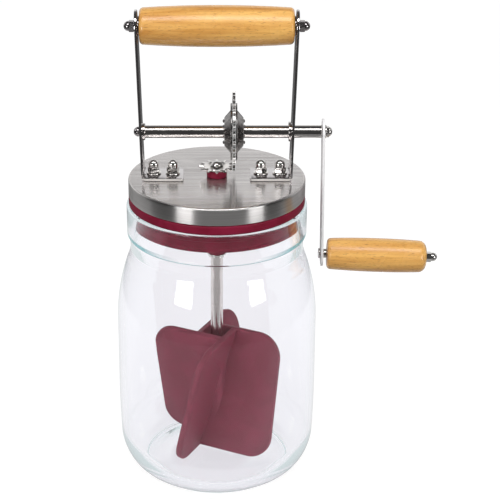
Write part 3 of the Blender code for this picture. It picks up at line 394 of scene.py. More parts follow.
woodLook = {
    "light": (1.0, 0.59, 0.175), "dark": (0.56, 0.225, 0.040), "fleck": (0.28, 0.10, 0.028),
    "roughness": 0.30, "patchScale": 45.0, "patchChange": (-0.05, 0.08), "coat": 0.30, "coatRoughness": 0.24,
    "bands": (13, 170, 170), "bandShare": 0.6, "lines": (34, 800, 800), "lineShare": 0.4, "lineDepth": 0.55,
    "flecks": (330, 1900, 1900), "fleckRange": (0.60, 0.72), "fleckShare": 0.55,
}


def makeWood(name, look):
    material, tree, shader, coordinates = newMaterial(name, look["roughness"], 0.0)
    fill(tree, shader, {"Coat Weight": look["coat"], "Coat Roughness": look["coatRoughness"]})
    bands = calcVector(tree, "MULTIPLY", coordinates, look["bands"])
    tone = addNode(tree, "ShaderNodeTexNoise", {"Vector": bands, "Scale": 1.0, "Detail": 3.0, "Distortion": 0.4})
    tone = times(tree, spread(tree, tone.outputs[0], *noiseRange, 0.0, 1.0), look["bandShare"])
    lines = grainAt(tree, coordinates, look["lines"], look["lineDepth"])
    shade = plus(tree, tone, times(tree, lines["Mask"], look["lineShare"]))
    colour = blendColour(tree, shade, look["light"] + (1,), look["dark"] + (1,))
    spots = calcVector(tree, "MULTIPLY", coordinates, look["flecks"])
    fleck = addNode(tree, "ShaderNodeTexNoise", {"Vector": spots, "Scale": 1.0, "Detail": 1.0}).outputs[0]
    fleck = spread(tree, fleck, *look["fleckRange"], 0.0, look["fleckShare"])
    colour = blendColour(tree, fleck, colour, look["fleck"] + (1,))
    patches = patchesAt(tree, coordinates, look["patchScale"])
    rough = spread(tree, patches, 0, 1, *(look["roughness"] + change for change in look["patchChange"]))
    fill(tree, shader, {"Base Color": colour, "Roughness": rough, "Normal": lines["Normal"]})
    return material


siliconeLook = {
    "colour": (0.190, 0.007, 0.027), "light": (0.240, 0.011, 0.040), "roughness": 0.42, "specular": 0.16,
    "patchScale": 70.0, "patchRise": 0.10, "grain": (900, 900, 900), "depth": 0.05,
}
# The paddle is the seal's silicone made lighter and greyer: a painted haze of the glass's reflections
paddlePaintedHazeLook = {
    **siliconeLook, "colour": (0.250, 0.044, 0.074), "light": (0.296, 0.052, 0.090),
    "roughness": 0.48, "specular": 0.20,
}


def makeSilicone(name, look):
    material, tree, shader, coordinates = newMaterial(name, look["roughness"], 0.0)
    patches = patchesAt(tree, coordinates, look["patchScale"])
    colour = blendColour(tree, patches, look["colour"] + (1,), look["light"] + (1,))
    rough = spread(tree, patches, 0, 1, look["roughness"], look["roughness"] + look["patchRise"])
    normal = grainAt(tree, coordinates, look["grain"], look["depth"])["Normal"]
    values = {"Base Color": colour, "Roughness": rough, "Normal": normal}
    fill(tree, shader, {**values, "Specular IOR Level": look["specular"]})
    return material


glassLook = {
    "colour": (1.0, 1.0, 1.0), "index": 1.45, "tint": (0.50, 0.84, 0.85), "tintDensity": 4.2,
    "ripple": 22.0, "rippleStrength": 0.05, "rippleDepth": 0.001,
    "ledge": (0.1662, 0.1706), "ledgeSoft": 0.0008, "ledgeTint": (0.09, 0.33, 0.35), "ledgeFacing": (0.18, 0.50),
    "depthGlow": (0.74, 0.78, 0.80), "mostReflections": 4.5,
}


def makeGlass(name, look):
    material, tree, shader, coordinates = newMaterial(name, 0.0, 0.0)
    fill(tree, shader, {"IOR": look["index"], "Transmission Weight": 1.0})
    values = {"Vector": coordinates, "Scale": look["ripple"], "Detail": 1.0}
    ripple = addNode(tree, "ShaderNodeTexNoise", values).outputs[0]
    values = {"Strength": look["rippleStrength"], "Distance": look["rippleDepth"], "Height": ripple}
    bump = addNode(tree, "ShaderNodeBump", values).outputs[0]
    # The thick ledge under the finish is deeper in colour where it is seen edge on
    height = addNode(tree, "ShaderNodeSeparateXYZ", {"Vector": coordinates}).outputs["Z"]
    low, high = look["ledge"]
    rise = spread(tree, height, low, low + look["ledgeSoft"], 0.0, 1.0)
    fall = spread(tree, height, high - look["ledgeSoft"], high, 1.0, 0.0)
    facing = addNode(tree, "ShaderNodeLayerWeight").outputs["Facing"]
    edgeOn = spread(tree, facing, *look["ledgeFacing"], 0.0, 1.0)
    band = times(tree, times(tree, rise, fall), edgeOn)
    colour = blendColour(tree, band, look["colour"] + (1,), look["ledgeTint"] + (1,))
    # Light that is still inside the glass after its last counted reflection gets the studio's average
    depth = addNode(tree, "ShaderNodeLightPath").outputs["Glossy Depth"]
    lost = calc(tree, "GREATER_THAN", depth, look["mostReflections"])
    glow = blendColour(tree, lost, (0, 0, 0, 1), look["depthGlow"] + (1,))
    values = {"Base Color": colour, "Normal": bump, "Emission Color": glow, "Emission Strength": 1.0}
    fill(tree, shader, values)
    values = {"Color": look["tint"] + (1,), "Density": look["tintDensity"]}
    absorb = addNode(tree, "ShaderNodeVolumeAbsorption", values).outputs[0]
    tree.links.new(absorb, tree.nodes["Material Output"].inputs["Volume"])
    return material


wood = makeWood("beechWood", woodLook)
silicone = makeSilicone("burgundySilicone", siliconeLook)
paddleSiliconePaintedHaze = makeSilicone("paddleSiliconePaintedHaze", paddlePaintedHazeLook)
glass = makeGlass("clearGlass", glassLook)
print("finishes ready")


# Geometry Nodes trees for what repeats


def newTree(name, inputs):
    tree = bpy.data.node_groups.new(name, "GeometryNodeTree")
    addSockets(tree, "INPUT", inputs)
    addSockets(tree, "OUTPUT", {"Geometry": "Geometry"})
    return tree, tree.nodes.new("NodeGroupInput").outputs


def endTree(tree, geometry, material):
    # Realizes the instances and sets the finish
    real = addNode(tree, "GeometryNodeRealizeInstances", {"Geometry": geometry}).outputs[0]
    dressed = addNode(tree, "GeometryNodeSetMaterial", {"Geometry": real, "Material": material}).outputs[0]
    tree.links.new(dressed, tree.nodes.new("NodeGroupOutput").inputs[0])
    return tree


def grownPiece(name, tree, values, sharpAngle=usualSharp):
    # Runs a tree on an empty mesh and keeps the result as a plain mesh
    piece = bpy.data.objects.new(name, bpy.data.meshes.new(name))
    scene.collection.objects.link(piece)
    modifier = piece.modifiers.new(tree.name, "NODES")
    modifier.node_group = tree
    for item in tree.interface.items_tree:
        if item.in_out == "INPUT" and item.name in values:
            modifier[item.identifier] = values[item.name]
    return settle(piece, sharpAngle)


def makeBarrelTree():
    # A turned grip along X: swelling barrel, its two ends rounded apart, bored through
    lengths = ("Length", "Middle Radius", "End Radius", "Near Round", "Far Round", "Bore")
    inputs = {**{name: 0.01 for name in lengths}, "Place": (0, 0, 0), "Turn": (0, 0, 0), "Material": "Material"}
    tree, given = newTree("barrel grip", inputs)
    values = {"Vertices": 96, "Side Segments": 72, "Fill Segments": 1, "Radius": 1.0, "Depth": 2.0}
    blank = addNode(tree, "GeometryNodeMeshCylinder", values).outputs["Mesh"]
    position = addNode(tree, "GeometryNodeInputPosition").outputs[0]
    across = addNode(tree, "ShaderNodeSeparateXYZ", {"Vector": position}).outputs
    share = calc(tree, "SINE", times(tree, across["Z"], pi / 2))
    swell = minus(tree, 1.0, times(tree, share, share))
    rise = minus(tree, given["Middle Radius"], given["End Radius"])
    radius = plus(tree, given["End Radius"], times(tree, rise, swell))
    isFar = calc(tree, "GREATER_THAN", share, 0.0)
    extra = minus(tree, given["Far Round"], given["Near Round"])
    edge = plus(tree, given["Near Round"], times(tree, isFar, extra))
    half = times(tree, given["Length"], 0.5)
    toEnd = times(tree, half, minus(tree, 1.0, calc(tree, "ABSOLUTE", share)))
    within = calc(tree, "MAXIMUM", minus(tree, edge, toEnd), 0.0)
    bow = minus(tree, times(tree, edge, edge), times(tree, within, within))
    pinch = minus(tree, edge, calc(tree, "SQRT", calc(tree, "MAXIMUM", bow, 0.0)))
    radius = minus(tree, radius, pinch)
    height = times(tree, share, half)
    target = combineXYZ(tree, times(tree, across["X"], radius), times(tree, across["Y"], radius), height)
    barrel = addNode(tree, "GeometryNodeSetPosition", {"Geometry": blank, "Position": target}).outputs[0]
    values = {"Vertices": 32, "Radius": given["Bore"], "Depth": times(tree, given["Length"], boringReach)}
    drillRod = addNode(tree, "GeometryNodeMeshCylinder", values).outputs["Mesh"]
    values = {"Mesh 1": barrel, "Mesh 2": drillRod}
    bored = addNode(tree, "GeometryNodeMeshBoolean", values, operation="DIFFERENCE").outputs[0]
    values = {"Geometry": bored, "Translation": given["Place"], "Rotation": given["Turn"]}
    turned = addNode(tree, "GeometryNodeTransform", values).outputs[0]
    return endTree(tree, turned, given["Material"])


pieceInputs = {"Piece": "Object", "Material": "Material"}


def instancesAt(tree, points, given, turn):
    source = addNode(tree, "GeometryNodeObjectInfo", {"Object": given["Piece"]}).outputs["Geometry"]
    values = {"Points": points, "Instance": source, "Rotation": turn}
    return addNode(tree, "GeometryNodeInstanceOnPoints", values).outputs[0]


def makeFootRowTree():
    # Two pieces on each side of the middle, each turned a little by chance
    inputs = {"First": 0.01, "Pitch": 0.01, "Height": 0.01, "Most Turn": 0.01, "Seed": 0}
    tree, given = newTree("foot row", {**pieceInputs, **inputs})
    index = addNode(tree, "GeometryNodeInputIndex").outputs[0]
    side = minus(tree, times(tree, calc(tree, "MODULO", index, 2.0), 2.0), 1.0)
    row = calc(tree, "FLOOR", times(tree, index, 0.5))
    reach = plus(tree, given["First"], times(tree, row, given["Pitch"]))
    spot = combineXYZ(tree, times(tree, side, reach), z=given["Height"])
    points = addNode(tree, "GeometryNodePoints", {"Count": 4, "Position": spot}).outputs[0]
    values = {"Seed": given["Seed"], 3: given["Most Turn"]}
    chance = addNode(tree, "FunctionNodeRandomValue", values, data_type="FLOAT")
    turn = combineXYZ(tree, z=chance.outputs[1])
    return endTree(tree, instancesAt(tree, points, given, turn), given["Material"])


def makePairTree():
    # The same piece twice, face to face along X
    tree, given = newTree("facing pair", {**pieceInputs, "Place": (0, 0, 0)})
    index = addNode(tree, "GeometryNodeInputIndex").outputs[0]
    points = addNode(tree, "GeometryNodePoints", {"Count": 2, "Position": given["Place"]}).outputs[0]
    turn = combineXYZ(tree, z=times(tree, index, pi))
    return endTree(tree, instancesAt(tree, points, given, turn), given["Material"])


def makeRingTree():
    # Pieces spaced evenly on a circle round X
    inputs = {"Place": (0, 0, 0), "Radius": 0.01, "Count": 4, "Start": 0.0}
    tree, given = newTree("ring of pieces", {**pieceInputs, **inputs})
    index = addNode(tree, "GeometryNodeInputIndex").outputs[0]
    spin = calc(tree, "DIVIDE", times(tree, index, 2 * pi), given["Count"])
    spin = plus(tree, spin, given["Start"])
    y = times(tree, calc(tree, "SINE", spin), given["Radius"])
    z = times(tree, calc(tree, "COSINE", spin), given["Radius"])
    offset = combineXYZ(tree, y=y, z=z)
    spot = calcVector(tree, "ADD", offset, given["Place"])
    points = addNode(tree, "GeometryNodePoints", {"Count": given["Count"], "Position": spot}).outputs[0]
    return endTree(tree, instancesAt(tree, points, given, (0, 0, 0)), given["Material"])


def joined(tree, *geometries):
    node = addNode(tree, "GeometryNodeJoinGeometry")
    for geometry in geometries:
        tree.links.new(geometry, node.inputs[0])
    return node.outputs[0]


def makeToothedSheetTree(shape):
    # A flat toothed ring in XY; the tooth is a table of turns and radii shared by every tooth
    inputs = {"Teeth": 30, "Root": 0.02, "Tip": 0.025, "Bore": 0.005, "Sheet": 0.002, "Material": "Material"}
    tree, given = newTree("toothed sheet", inputs)
    perTooth = len(shape)
    count = times(tree, given["Teeth"], float(perTooth))
    index = addNode(tree, "GeometryNodeInputIndex").outputs[0]
    corner = calc(tree, "MODULO", index, float(perTooth))
    tooth = calc(tree, "FLOOR", calc(tree, "DIVIDE", index, float(perTooth)))

    def table(entries):
        switch = addNode(tree, "GeometryNodeIndexSwitch", data_type="FLOAT")
        for _ in range(perTooth - 2):
            switch.index_switch_items.new()
        tree.links.new(corner, switch.inputs["Index"])
        for slot, entry in enumerate(entries):
            switch.inputs[slot + 1].default_value = entry
        return switch.outputs[0]

    phase = plus(tree, tooth, table([turn for turn, _ in shape]))
    spin = calc(tree, "DIVIDE", times(tree, phase, 2 * pi), given["Teeth"])
    depth = minus(tree, given["Tip"], given["Root"])
    radius = plus(tree, given["Root"], times(tree, depth, table([rise for _, rise in shape])))
    x = times(tree, calc(tree, "COSINE", spin), radius)
    target = combineXYZ(tree, x, times(tree, calc(tree, "SINE", spin), radius))
    ring = addNode(tree, "GeometryNodeMeshCircle", {"Vertices": count, "Radius": 1.0}).outputs[0]
    ring = addNode(tree, "GeometryNodeSetPosition", {"Geometry": ring, "Position": target}).outputs[0]
    outline = addNode(tree, "GeometryNodeMeshToCurve", {"Mesh": ring}).outputs[0]
    values = {"Resolution": 64, "Radius": given["Bore"]}
    hole = addNode(tree, "GeometryNodeCurvePrimitiveCircle", values).outputs[0]
    face = addNode(tree, "GeometryNodeFillCurve", {"Curve": joined(tree, outline, hole)}).outputs[0]
    values = {"Mesh": face, "Offset Scale": given["Sheet"], "Individual": False}
    top = addNode(tree, "GeometryNodeExtrudeMesh", values).outputs["Mesh"]
    under = addNode(tree, "GeometryNodeFlipFaces", {"Mesh": face}).outputs[0]
    values = {"Geometry": joined(tree, top, under), "Distance": weldDistance}
    welded = addNode(tree, "GeometryNodeMergeByDistance", values).outputs[0]
    return endTree(tree, welded, given["Material"])


barrelTree = makeBarrelTree()
footRowTree = makeFootRowTree()
pairTree = makePairTree()
ringTree = makeRingTree()


def repeated(name, tree, source, values):
    # Repeats a source piece by a tree, and takes the source out of the scene
    material = source.data.materials[0]
    piece = grownPiece(name, tree, {"Piece": source, "Material": material, **values})
    bpy.data.objects.remove(source, do_unlink=True)
    return piece


def pairOf(name, source, middle, body, slot, *nodes):
    pair = repeated(name, pairTree, source, {"Place": middle})
    place(pair, body, slot, *nodes)
    return pair


print("repeat trees ready")


# Glass jar

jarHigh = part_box("glass_jar")[1]
jar = {
    "sides": 192, "sharp": radians(60), "bodyRadius": jarHigh.x, "rim": jarHigh.z, "wall": 0.0030,
    # Steps up the three parts of the wall, outside and inside, and round the heel's two faces
    "outerCuts": (8, 2, 24), "innerCuts": (8, 2, 20), "heelCuts": (24, 20),
    # Foot and floor; the shares are of the push-up and of the floor's rise, at a middle and an edge
    "restRadius": 0.0440, "footRing": 0.0480, "footHeight": 0.0026, "footRounds": (0.0010, 0.0006),
    "pushUp": 0.0030, "pushUpRadius": 0.0400, "pushUpMiddle": 0.6, "pushUpShares": (0.86, 0.62),
    "floor": 0.0054, "floorRadius": 0.0445, "floorRise": 0.0026, "floorShares": (0.85, 0.35), "innerHeel": 0.0226,
    # Wall
    "heelStart": 0.0492, "heelRadius": 0.0640, "heelHeight": 0.0260, "heelPower": 1.7, "barrelStart": 0.0600,
    "shoulderStart": 0.1080, "shoulderEnd": 0.1530, "shoulderRadius": 0.0566, "innerEnd": 0.004,
    # Neck
    "neckBlend": 0.001, "waistRadius": 0.0556, "waistHeight": 0.1568, "waistLift": 0.0006, "waistRound": 0.0022,
    "ledgeStep": 0.0003, "ledgeDrop": 0.0006, "ledgeRound": 0.0014, "rimRound": 0.0012,
    "finishStart": 0.1672, "finishRadius": 0.0576, "finishWall": 0.0036, "boreEnd": 0.003, "boreRound": 0.004,
    "innerRound": 0.003, "innerBlend": 0.002,
}


def jarWallRadius(z):
    if z < jar["barrelStart"]:
        rise = (z - jar["heelHeight"]) / (jar["barrelStart"] - jar["heelHeight"])
        return jar["heelRadius"] + (jar["bodyRadius"] - jar["heelRadius"]) * sin(rise * pi / 2)
    if z < jar["shoulderStart"]:
        return jar["bodyRadius"]
    rise = (z - jar["shoulderStart"]) / (jar["shoulderEnd"] - jar["shoulderStart"])
    return jar["bodyRadius"] - (jar["bodyRadius"] - jar["shoulderRadius"]) * rise * rise


def quarterArc(centre, radii, power, steps):
    # From straight below the centre out to its side; a power of 2 is an ellipse, less is flatter
    turns = [pi / 2 * step / steps for step in range(steps + 1)]
    shares = [(sin(turn) ** (2 / power), max(0.0, cos(turn)) ** (2 / power)) for turn in turns]
    return [(centre[0] + radii[0] * out, centre[1] - radii[1] * down) for out, down in shares]


def makeJar():
    rest, heelHeight, barrelStart, shoulder, wall = (
        jar[key] for key in ("restRadius", "heelHeight", "barrelStart", "shoulderEnd", "wall"))
    middle, edge = jar["pushUpRadius"] * jar["pushUpMiddle"], jar["pushUpRadius"]
    outer = [(0, jar["pushUp"])]
    outer += [(radius, jar["pushUp"] * share) for radius, share in zip((middle, edge), jar["pushUpShares"])]
    foot = [(rest, 0), (jar["footRing"], 0, jar["footRounds"][0])]
    foot += [(jar["footRing"], jar["footHeight"], jar["footRounds"][1]), (jar["heelStart"], jar["footHeight"])]
    outer += filleted(foot)[:-1]
    heelSize = (jar["heelRadius"] - jar["heelStart"], heelHeight - jar["footHeight"])
    outer += quarterArc((jar["heelStart"], heelHeight), heelSize, jar["heelPower"], jar["heelCuts"][0])
    heights = (heelHeight, barrelStart, jar["shoulderStart"], shoulder)
    for start, end, steps in zip(heights, heights[1:], jar["outerCuts"]):
        outer += curveBetween(start, end, jarWallRadius, steps)[1:]
    finish, waist, bore = jar["finishRadius"], jar["waistRadius"], jar["finishRadius"] - jar["finishWall"]
    neck = [(jarWallRadius(shoulder - jar["neckBlend"]), shoulder - jar["neckBlend"])]
    neck += [(waist, jar["waistHeight"] + jar["waistLift"], jar["waistRound"])]
    neck += [(waist + jar["ledgeStep"], jar["finishStart"] - jar["ledgeDrop"], crispEdge)]
    neck += [(finish, jar["finishStart"], jar["ledgeRound"]), (finish, jar["rim"], jar["rimRound"])]
    neck += [(bore, jar["rim"], jar["rimRound"]), (bore, jar["finishStart"] - jar["boreEnd"], jar["boreRound"])]
    neck += [(waist - wall, jar["waistHeight"], jar["innerRound"])]
    neck += [(jarWallRadius(shoulder) - wall, shoulder - jar["innerBlend"])]
    outer += filleted(neck)[1:]
    heelTop = jar["floor"] + jar["innerHeel"]
    inner = [(0, jar["floor"] + jar["floorRise"])]
    for radius, share in zip((middle, edge), jar["floorShares"]):
        inner.append((radius, jar["floor"] + jar["floorRise"] * share))
    innerSize = (jarWallRadius(heelTop) - wall - jar["floorRadius"], jar["innerHeel"])
    inner += quarterArc((jar["floorRadius"], heelTop), innerSize, jar["heelPower"], jar["heelCuts"][1])
    heights = (heelTop, barrelStart, jar["shoulderStart"], shoulder - jar["innerEnd"])
    for start, end, steps in zip(heights, heights[1:], jar["innerCuts"]):
        inner += curveBetween(start, end, lambda z: jarWallRadius(z) - wall, steps)[1:]
    dress("glass_jar", turnedShape(outer + inner[::-1], jar["sides"]), glass, "jar", "glass", jar["sharp"])


makeJar()
print("jar made")


# Lid, seal and the bushes of the dasher's shaft

lidLow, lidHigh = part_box("steel_lid")
lid = {
    "radius": lidHigh.x, "top": lidHigh.z, "skirtEnd": lidLow.z, "sheet": 0.0009, "edgeRound": 0.0016,
    "bore": 0.0057, "sides": 192, "skirtSlope": 0.6,
}
sealLow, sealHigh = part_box("silicone_seal")
seal = {
    "flangeBottom": 0.1873, "flangeTop": 0.1933, "flangeRound": 0.0011, "capGap": 0.0003, "capRound": 0.0012,
    "lipRadius": 0.0534, "lipRound": 0.0005, "groove": 0.0009, "grooveRound": 0.0006,
    # The plug's two ribs: where each ends, as a share of its depth, and the heights over that end
    "ribEnds": (0.45, 1.0), "ribHeights": (0.0030, 0.0021, 0.0007),
    "plugWall": 0.0031, "plugEnd": sealLow.z, "sides": 160,
    "web": 0.0050, "webTop": sealHigh.z, "webRound": 0.0015,
}
bush = {"sleeve": 0.0054, "collarRound": 0.0010, "tubeRound": 0.0014, "seatDepth": 0.0022, "sides": 96}
footScrews = (0.0278, 0.0399)                   # how far out the foot screws stand
shaftBore = 0.0043


def makeLid():
    radius, top, sheet, edge, end = (lid[key] for key in ("radius", "top", "sheet", "edgeRound", "skirtEnd"))
    corners = [(lid["bore"], top, fineEdge), (radius, top, edge), (radius, end, crispEdge)]
    corners += [(radius - sheet, end, crispEdge), (radius - sheet, top - sheet, edge - sheet)]
    corners += [(lid["bore"], top - sheet, fineEdge)]
    piece = newPiece("steelLid", turnedShape(filleted(corners, True), lid["sides"]), steel["lidTop"])
    for x in (x * side for x in footScrews for side in (-1, 1)):
        drill(piece, screwBore, shift(x, 0, top))
    piece.data.materials.append(steel["lidSkirt"])
    for face in piece.data.polygons:
        if abs(face.normal.z) < lid["skirtSlope"]:
            face.material_index = 1
    place(piece, "lid_unit", "brushed_steel", "steel_lid")


def makeSeal():
    radius, bottom, top, flangeRound = lid["radius"], seal["flangeBottom"], seal["flangeTop"], seal["flangeRound"]
    cap = radius - lid["sheet"] - seatGap - seal["capGap"]
    lip, groove = seal["lipRadius"], seal["lipRadius"] - seal["groove"]
    webTop, webBottom = seal["webTop"], seal["webTop"] - seal["web"]
    corners = [(lid["bore"], webTop), (cap, webTop, seal["capRound"]), (cap, top)]
    corners += [(radius, top, flangeRound), (radius, bottom, flangeRound), (groove, bottom)]
    lead, shoulder, foot = seal["ribHeights"]
    for share in seal["ribEnds"]:
        end = bottom - (bottom - seal["plugEnd"]) * share
        corners += [(groove, end + lead, seal["grooveRound"]), (lip, end + shoulder, seal["lipRound"])]
        corners += [(lip, end + foot, seal["lipRound"]), (groove, end, easedEdge)]
    hollow = lip - seal["plugWall"]
    corners += [(hollow, seal["plugEnd"], seal["grooveRound"]), (hollow, webBottom, seal["webRound"])]
    corners += [(lid["bore"], webBottom)]
    shape = turnedShape(filleted(corners, True), seal["sides"])
    dress("silicone_seal", shape, silicone, "lid_unit", "burgundy_silicone")


def makeBushes():
    low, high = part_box("upper_shaft_bush")
    seat = lid["top"] + seatGap
    collar = [(shaftBore, high.z, easedEdge), (high.x, high.z, bush["collarRound"]), (high.x, seat, easedEdge)]
    collar += [(bush["sleeve"], seat), (bush["sleeve"], low.z, crispEdge), (shaftBore, low.z, crispEdge)]
    low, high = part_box("lower_shaft_bush")
    step = high.z - bush["seatDepth"]
    tube = [(lid["bore"], high.z), (high.x, high.z, easedEdge), (high.x, low.z, bush["tubeRound"])]
    tube += [(shaftBore, low.z, easedEdge), (shaftBore, step), (lid["bore"], step)]
    for node, corners in (("upper_shaft_bush", collar), ("lower_shaft_bush", tube)):
        shape = turnedShape(filleted(corners, True), bush["sides"])
        dress(node, shape, silicone, "lid_unit", "burgundy_silicone")


makeLid()
makeSeal()
makeBushes()
print("lid, seal and bushes made")


# Straps, fasteners and the carrying grip

strap = {
    "width": 0.0200, "sheet": 0.0016, "bend": 0.0030, "lean": radians(1.585), "footEnd": 0.0210,
    "outer": 0.04755, "footCorner": 0.0016, "edgeRound": 0.00035, "bendCuts": 14, "endCuts": 32,
    "axleBore": 0.0055, "sharp": radians(35), "edgeSlope": 0.5,
}
bendMiddle = strap["bend"] - strap["sheet"] / 2    # radius of the bend's mid-plane
bendTurn = pi / 2 - strap["lean"]
footLength = strap["outer"] - strap["bend"] - strap["footEnd"]
strapBottom = lid["top"] + seatGap


def middleZ(node):
    low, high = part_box(node)
    return (low.z + high.z) / 2


handleZ, axleZ = middleZ("handle_rod"), middleZ("crank_axle")


def strapPoint(along, across, above):
    # From the flat strip to the bent one: along the strip, across its width, above its mid-plane
    if along < footLength:
        return Vector((strap["footEnd"] + along, across, strapBottom + strap["sheet"] / 2 + above))
    angle = min(bendTurn, (along - footLength) / bendMiddle)
    beyond = max(0.0, along - footLength - bendMiddle * bendTurn)
    x = strap["outer"] - strap["bend"] + (bendMiddle - above) * sin(angle) + beyond * cos(bendTurn)
    z = strapBottom + strap["bend"] - (bendMiddle - above) * cos(angle) + beyond * sin(bendTurn)
    return Vector((x, across, z))


def strapAlong(z):
    # How far along the strip its mid-plane reaches a height
    bendEnd = strapBottom + strap["bend"] - bendMiddle * cos(bendTurn)
    return footLength + bendMiddle * bendTurn + (z - bendEnd) / sin(bendTurn)


def makeStraps():
    half, rodAlong, corner = strap["width"] / 2, strapAlong(handleZ), strap["footCorner"]
    outline = filleted([(rodAlong, half), (0, half, corner), (0, -half, corner), (rodAlong, -half)])
    turns = [-pi / 2 + pi * step / strap["endCuts"] for step in range(1, strap["endCuts"])]
    outline += [(rodAlong + half * cos(turn), half * sin(turn)) for turn in turns]
    flat = newPiece("flatStrap", plateShape(outline, strap["sheet"], strap["edgeRound"]), steel["strapSteel"])
    for x in footScrews:
        drill(flat, screwBore, shift(x - strap["footEnd"], 0, 0))
    drill(flat, strap["axleBore"], shift(strapAlong(axleZ), 0, 0))
    drill(flat, screwBore, shift(rodAlong, 0, 0))
    shape = bmesh.new()
    shape.from_mesh(flat.data)
    for cut in range(strap["bendCuts"] + 1):
        along = footLength + bendMiddle * bendTurn * cut / strap["bendCuts"]
        everything = shape.verts[:] + shape.edges[:] + shape.faces[:]
        bmesh.ops.bisect_plane(shape, geom=everything, plane_co=(along, 0, 0), plane_no=(1, 0, 0))
    for vertex in shape.verts:
        vertex.co = strapPoint(*vertex.co)
    bpy.data.objects.remove(flat, do_unlink=True)
    source = newPiece("strapSource", shape, steel["strapSteel"], strap["sharp"])
    pair = pairOf("handleStraps", source, (0, 0, 0), "lid_unit", "bright_steel", "left_strap", "right_strap")
    # The feet's front and back edges take the lighter steel: a painted highlight
    pair.data.materials.append(steel["edgeSteelPaintedHighlight"])
    for face in pair.data.polygons:
        if abs(face.normal.y) > strap["edgeSlope"] and face.center.z < strapBottom + strap["sheet"]:
            face.material_index = len(pair.data.materials) - 1


# Shares: face and neck are of half the flats' width, dome and tip of the neck, chamfer of the corners' reach
nutForm = {
    "face": 0.97, "neck": 0.93, "dome": 0.94, "tip": 0.02, "chamfer": 0.58, "sides": 72,
    "bevelCuts": 4, "domeCuts": 12, "sharp": radians(28),
}
footSet = {"bore": screwBore, "roof": 0.0012, "flats": 0.0070, "height": 0.0080, "hexHeight": 0.0032}
footTurns = {"seed": 4, "most": pi / 3}
handleSet = {"bore": screwBore, "roof": 0.0012, "flats": 0.0066, "height": 0.0064, "hexHeight": 0.0032}
topGrip = {"endRadius": 0.0112, "endRound": 0.0024, "bore": 0.0026}


def acornNut(nut):
    # Dome nut along +Z from its seat: chamfered hexagon, neck and ball-shaped cap, bored from below
    half, height, hexHeight = nut["flats"] / 2, nut["height"], nut["hexHeight"]
    reach = half / cos(pi / 6) - half
    bevel, neck, dome = reach * nutForm["chamfer"], half * nutForm["neck"], height - hexHeight
    wallHeight = max(0.0, dome - neck * nutForm["dome"])

    def ring(limit, z):
        points = []
        for step in range(nutForm["sides"]):
            turn = 2 * pi * step / nutForm["sides"]
            toFlat = (turn + pi / 6) % (pi / 3) - pi / 6
            radius = min(half / cos(toFlat), limit)
            points.append((radius * cos(turn), radius * sin(turn), z))
        return points

    levels = [(nut["bore"], height - nut["roof"]), (nut["bore"], 0), (half * nutForm["face"], 0)]
    shares = [step / nutForm["bevelCuts"] for step in range(nutForm["bevelCuts"] + 1)]
    levels += [(half + reach * share, bevel * share) for share in shares]
    levels += [(half + reach * share, hexHeight - bevel * share) for share in shares[::-1]]
    levels += [(neck, hexHeight), (neck, hexHeight + wallHeight / 2)]
    turns = [pi / 2 * step / nutForm["domeCuts"] for step in range(nutForm["domeCuts"])]
    levels += [(neck * cos(turn), hexHeight + wallHeight + (dome - wallHeight) * sin(turn)) for turn in turns]
    levels.append((neck * nutForm["tip"], height))
    return loftedShape([ring(limit, z) for limit, z in levels])


def washer(bore, radius, thickness, rounding=0.3):
    edge = thickness * rounding
    corners = [(bore, 0, edge), (radius, 0, edge), (radius, thickness, edge), (bore, thickness, edge)]
    return turnedShape(filleted(corners, True), smallSides)


def footNames(kind):
    return [f"foot_{kind}_{side}" for side in ("left_outer", "left_inner", "right_inner", "right_outer")]


def makeFootFasteners():
    row = {"First": footScrews[0], "Pitch": footScrews[1] - footScrews[0], "Seed": footTurns["seed"]}
    low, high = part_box("foot_washer_left_outer")
    shape = washer(footSet["bore"], (high.x - low.x) / 2, high.z - low.z)
    source = newPiece("washerSource", shape, steel["nutSteel"])
    washers = repeated("footWashers", footRowTree, source, {**row, "Height": low.z, "Most Turn": 0.0})
    place(washers, "lid_unit", "bright_steel", *footNames("washer"))
    source = newPiece("nutSource", acornNut(footSet), steel["nutSteel"], nutForm["sharp"])
    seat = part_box("foot_nut_left_outer")[0].z
    nuts = repeated("footNuts", footRowTree, source, {**row, "Height": seat, "Most Turn": footTurns["most"]})
    place(nuts, "lid_unit", "bright_steel", *footNames("nut"))


def makeHandle():
    low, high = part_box("top_grip")
    values = {
        "Length": high.x - low.x, "Middle Radius": (high.z - low.z) / 2, "End Radius": topGrip["endRadius"],
        "Near Round": topGrip["endRound"], "Far Round": topGrip["endRound"], "Bore": topGrip["bore"],
        "Material": wood, "Place": (0, 0, handleZ), "Turn": (0, pi / 2, 0),
    }
    place(grownPiece("topGrip", barrelTree, values), "lid_unit", "beech_wood", "top_grip")
    # The handle's washers and nuts take the darker steel: painted shade
    low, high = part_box("handle_washer_right")
    shape = washer(handleSet["bore"], (high.z - low.z) / 2, high.x - low.x)
    source = newPiece("washerSource", moved(shape, alongX, shift(low.x, 0, 0)), steel["endSteelPaintedShade"])
    nodes = ("handle_washer_left", "handle_washer_right")
    pairOf("handleWashers", source, (0, 0, handleZ), "lid_unit", "brushed_steel", *nodes)
    shape = moved(acornNut(handleSet), alongX, shift(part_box("handle_nut_right")[0].x, 0, 0))
    source = newPiece("nutSource", shape, steel["endSteelPaintedShade"], nutForm["sharp"])
    nodes = ("handle_nut_left", "handle_nut_right")
    pairOf("handleNuts", source, (0, 0, handleZ), "lid_unit", "bright_steel", *nodes)


makeStraps()
makeFootFasteners()
makeHandle()
print("straps, fasteners and top grip made")


# Crank axle with its bushes and cap

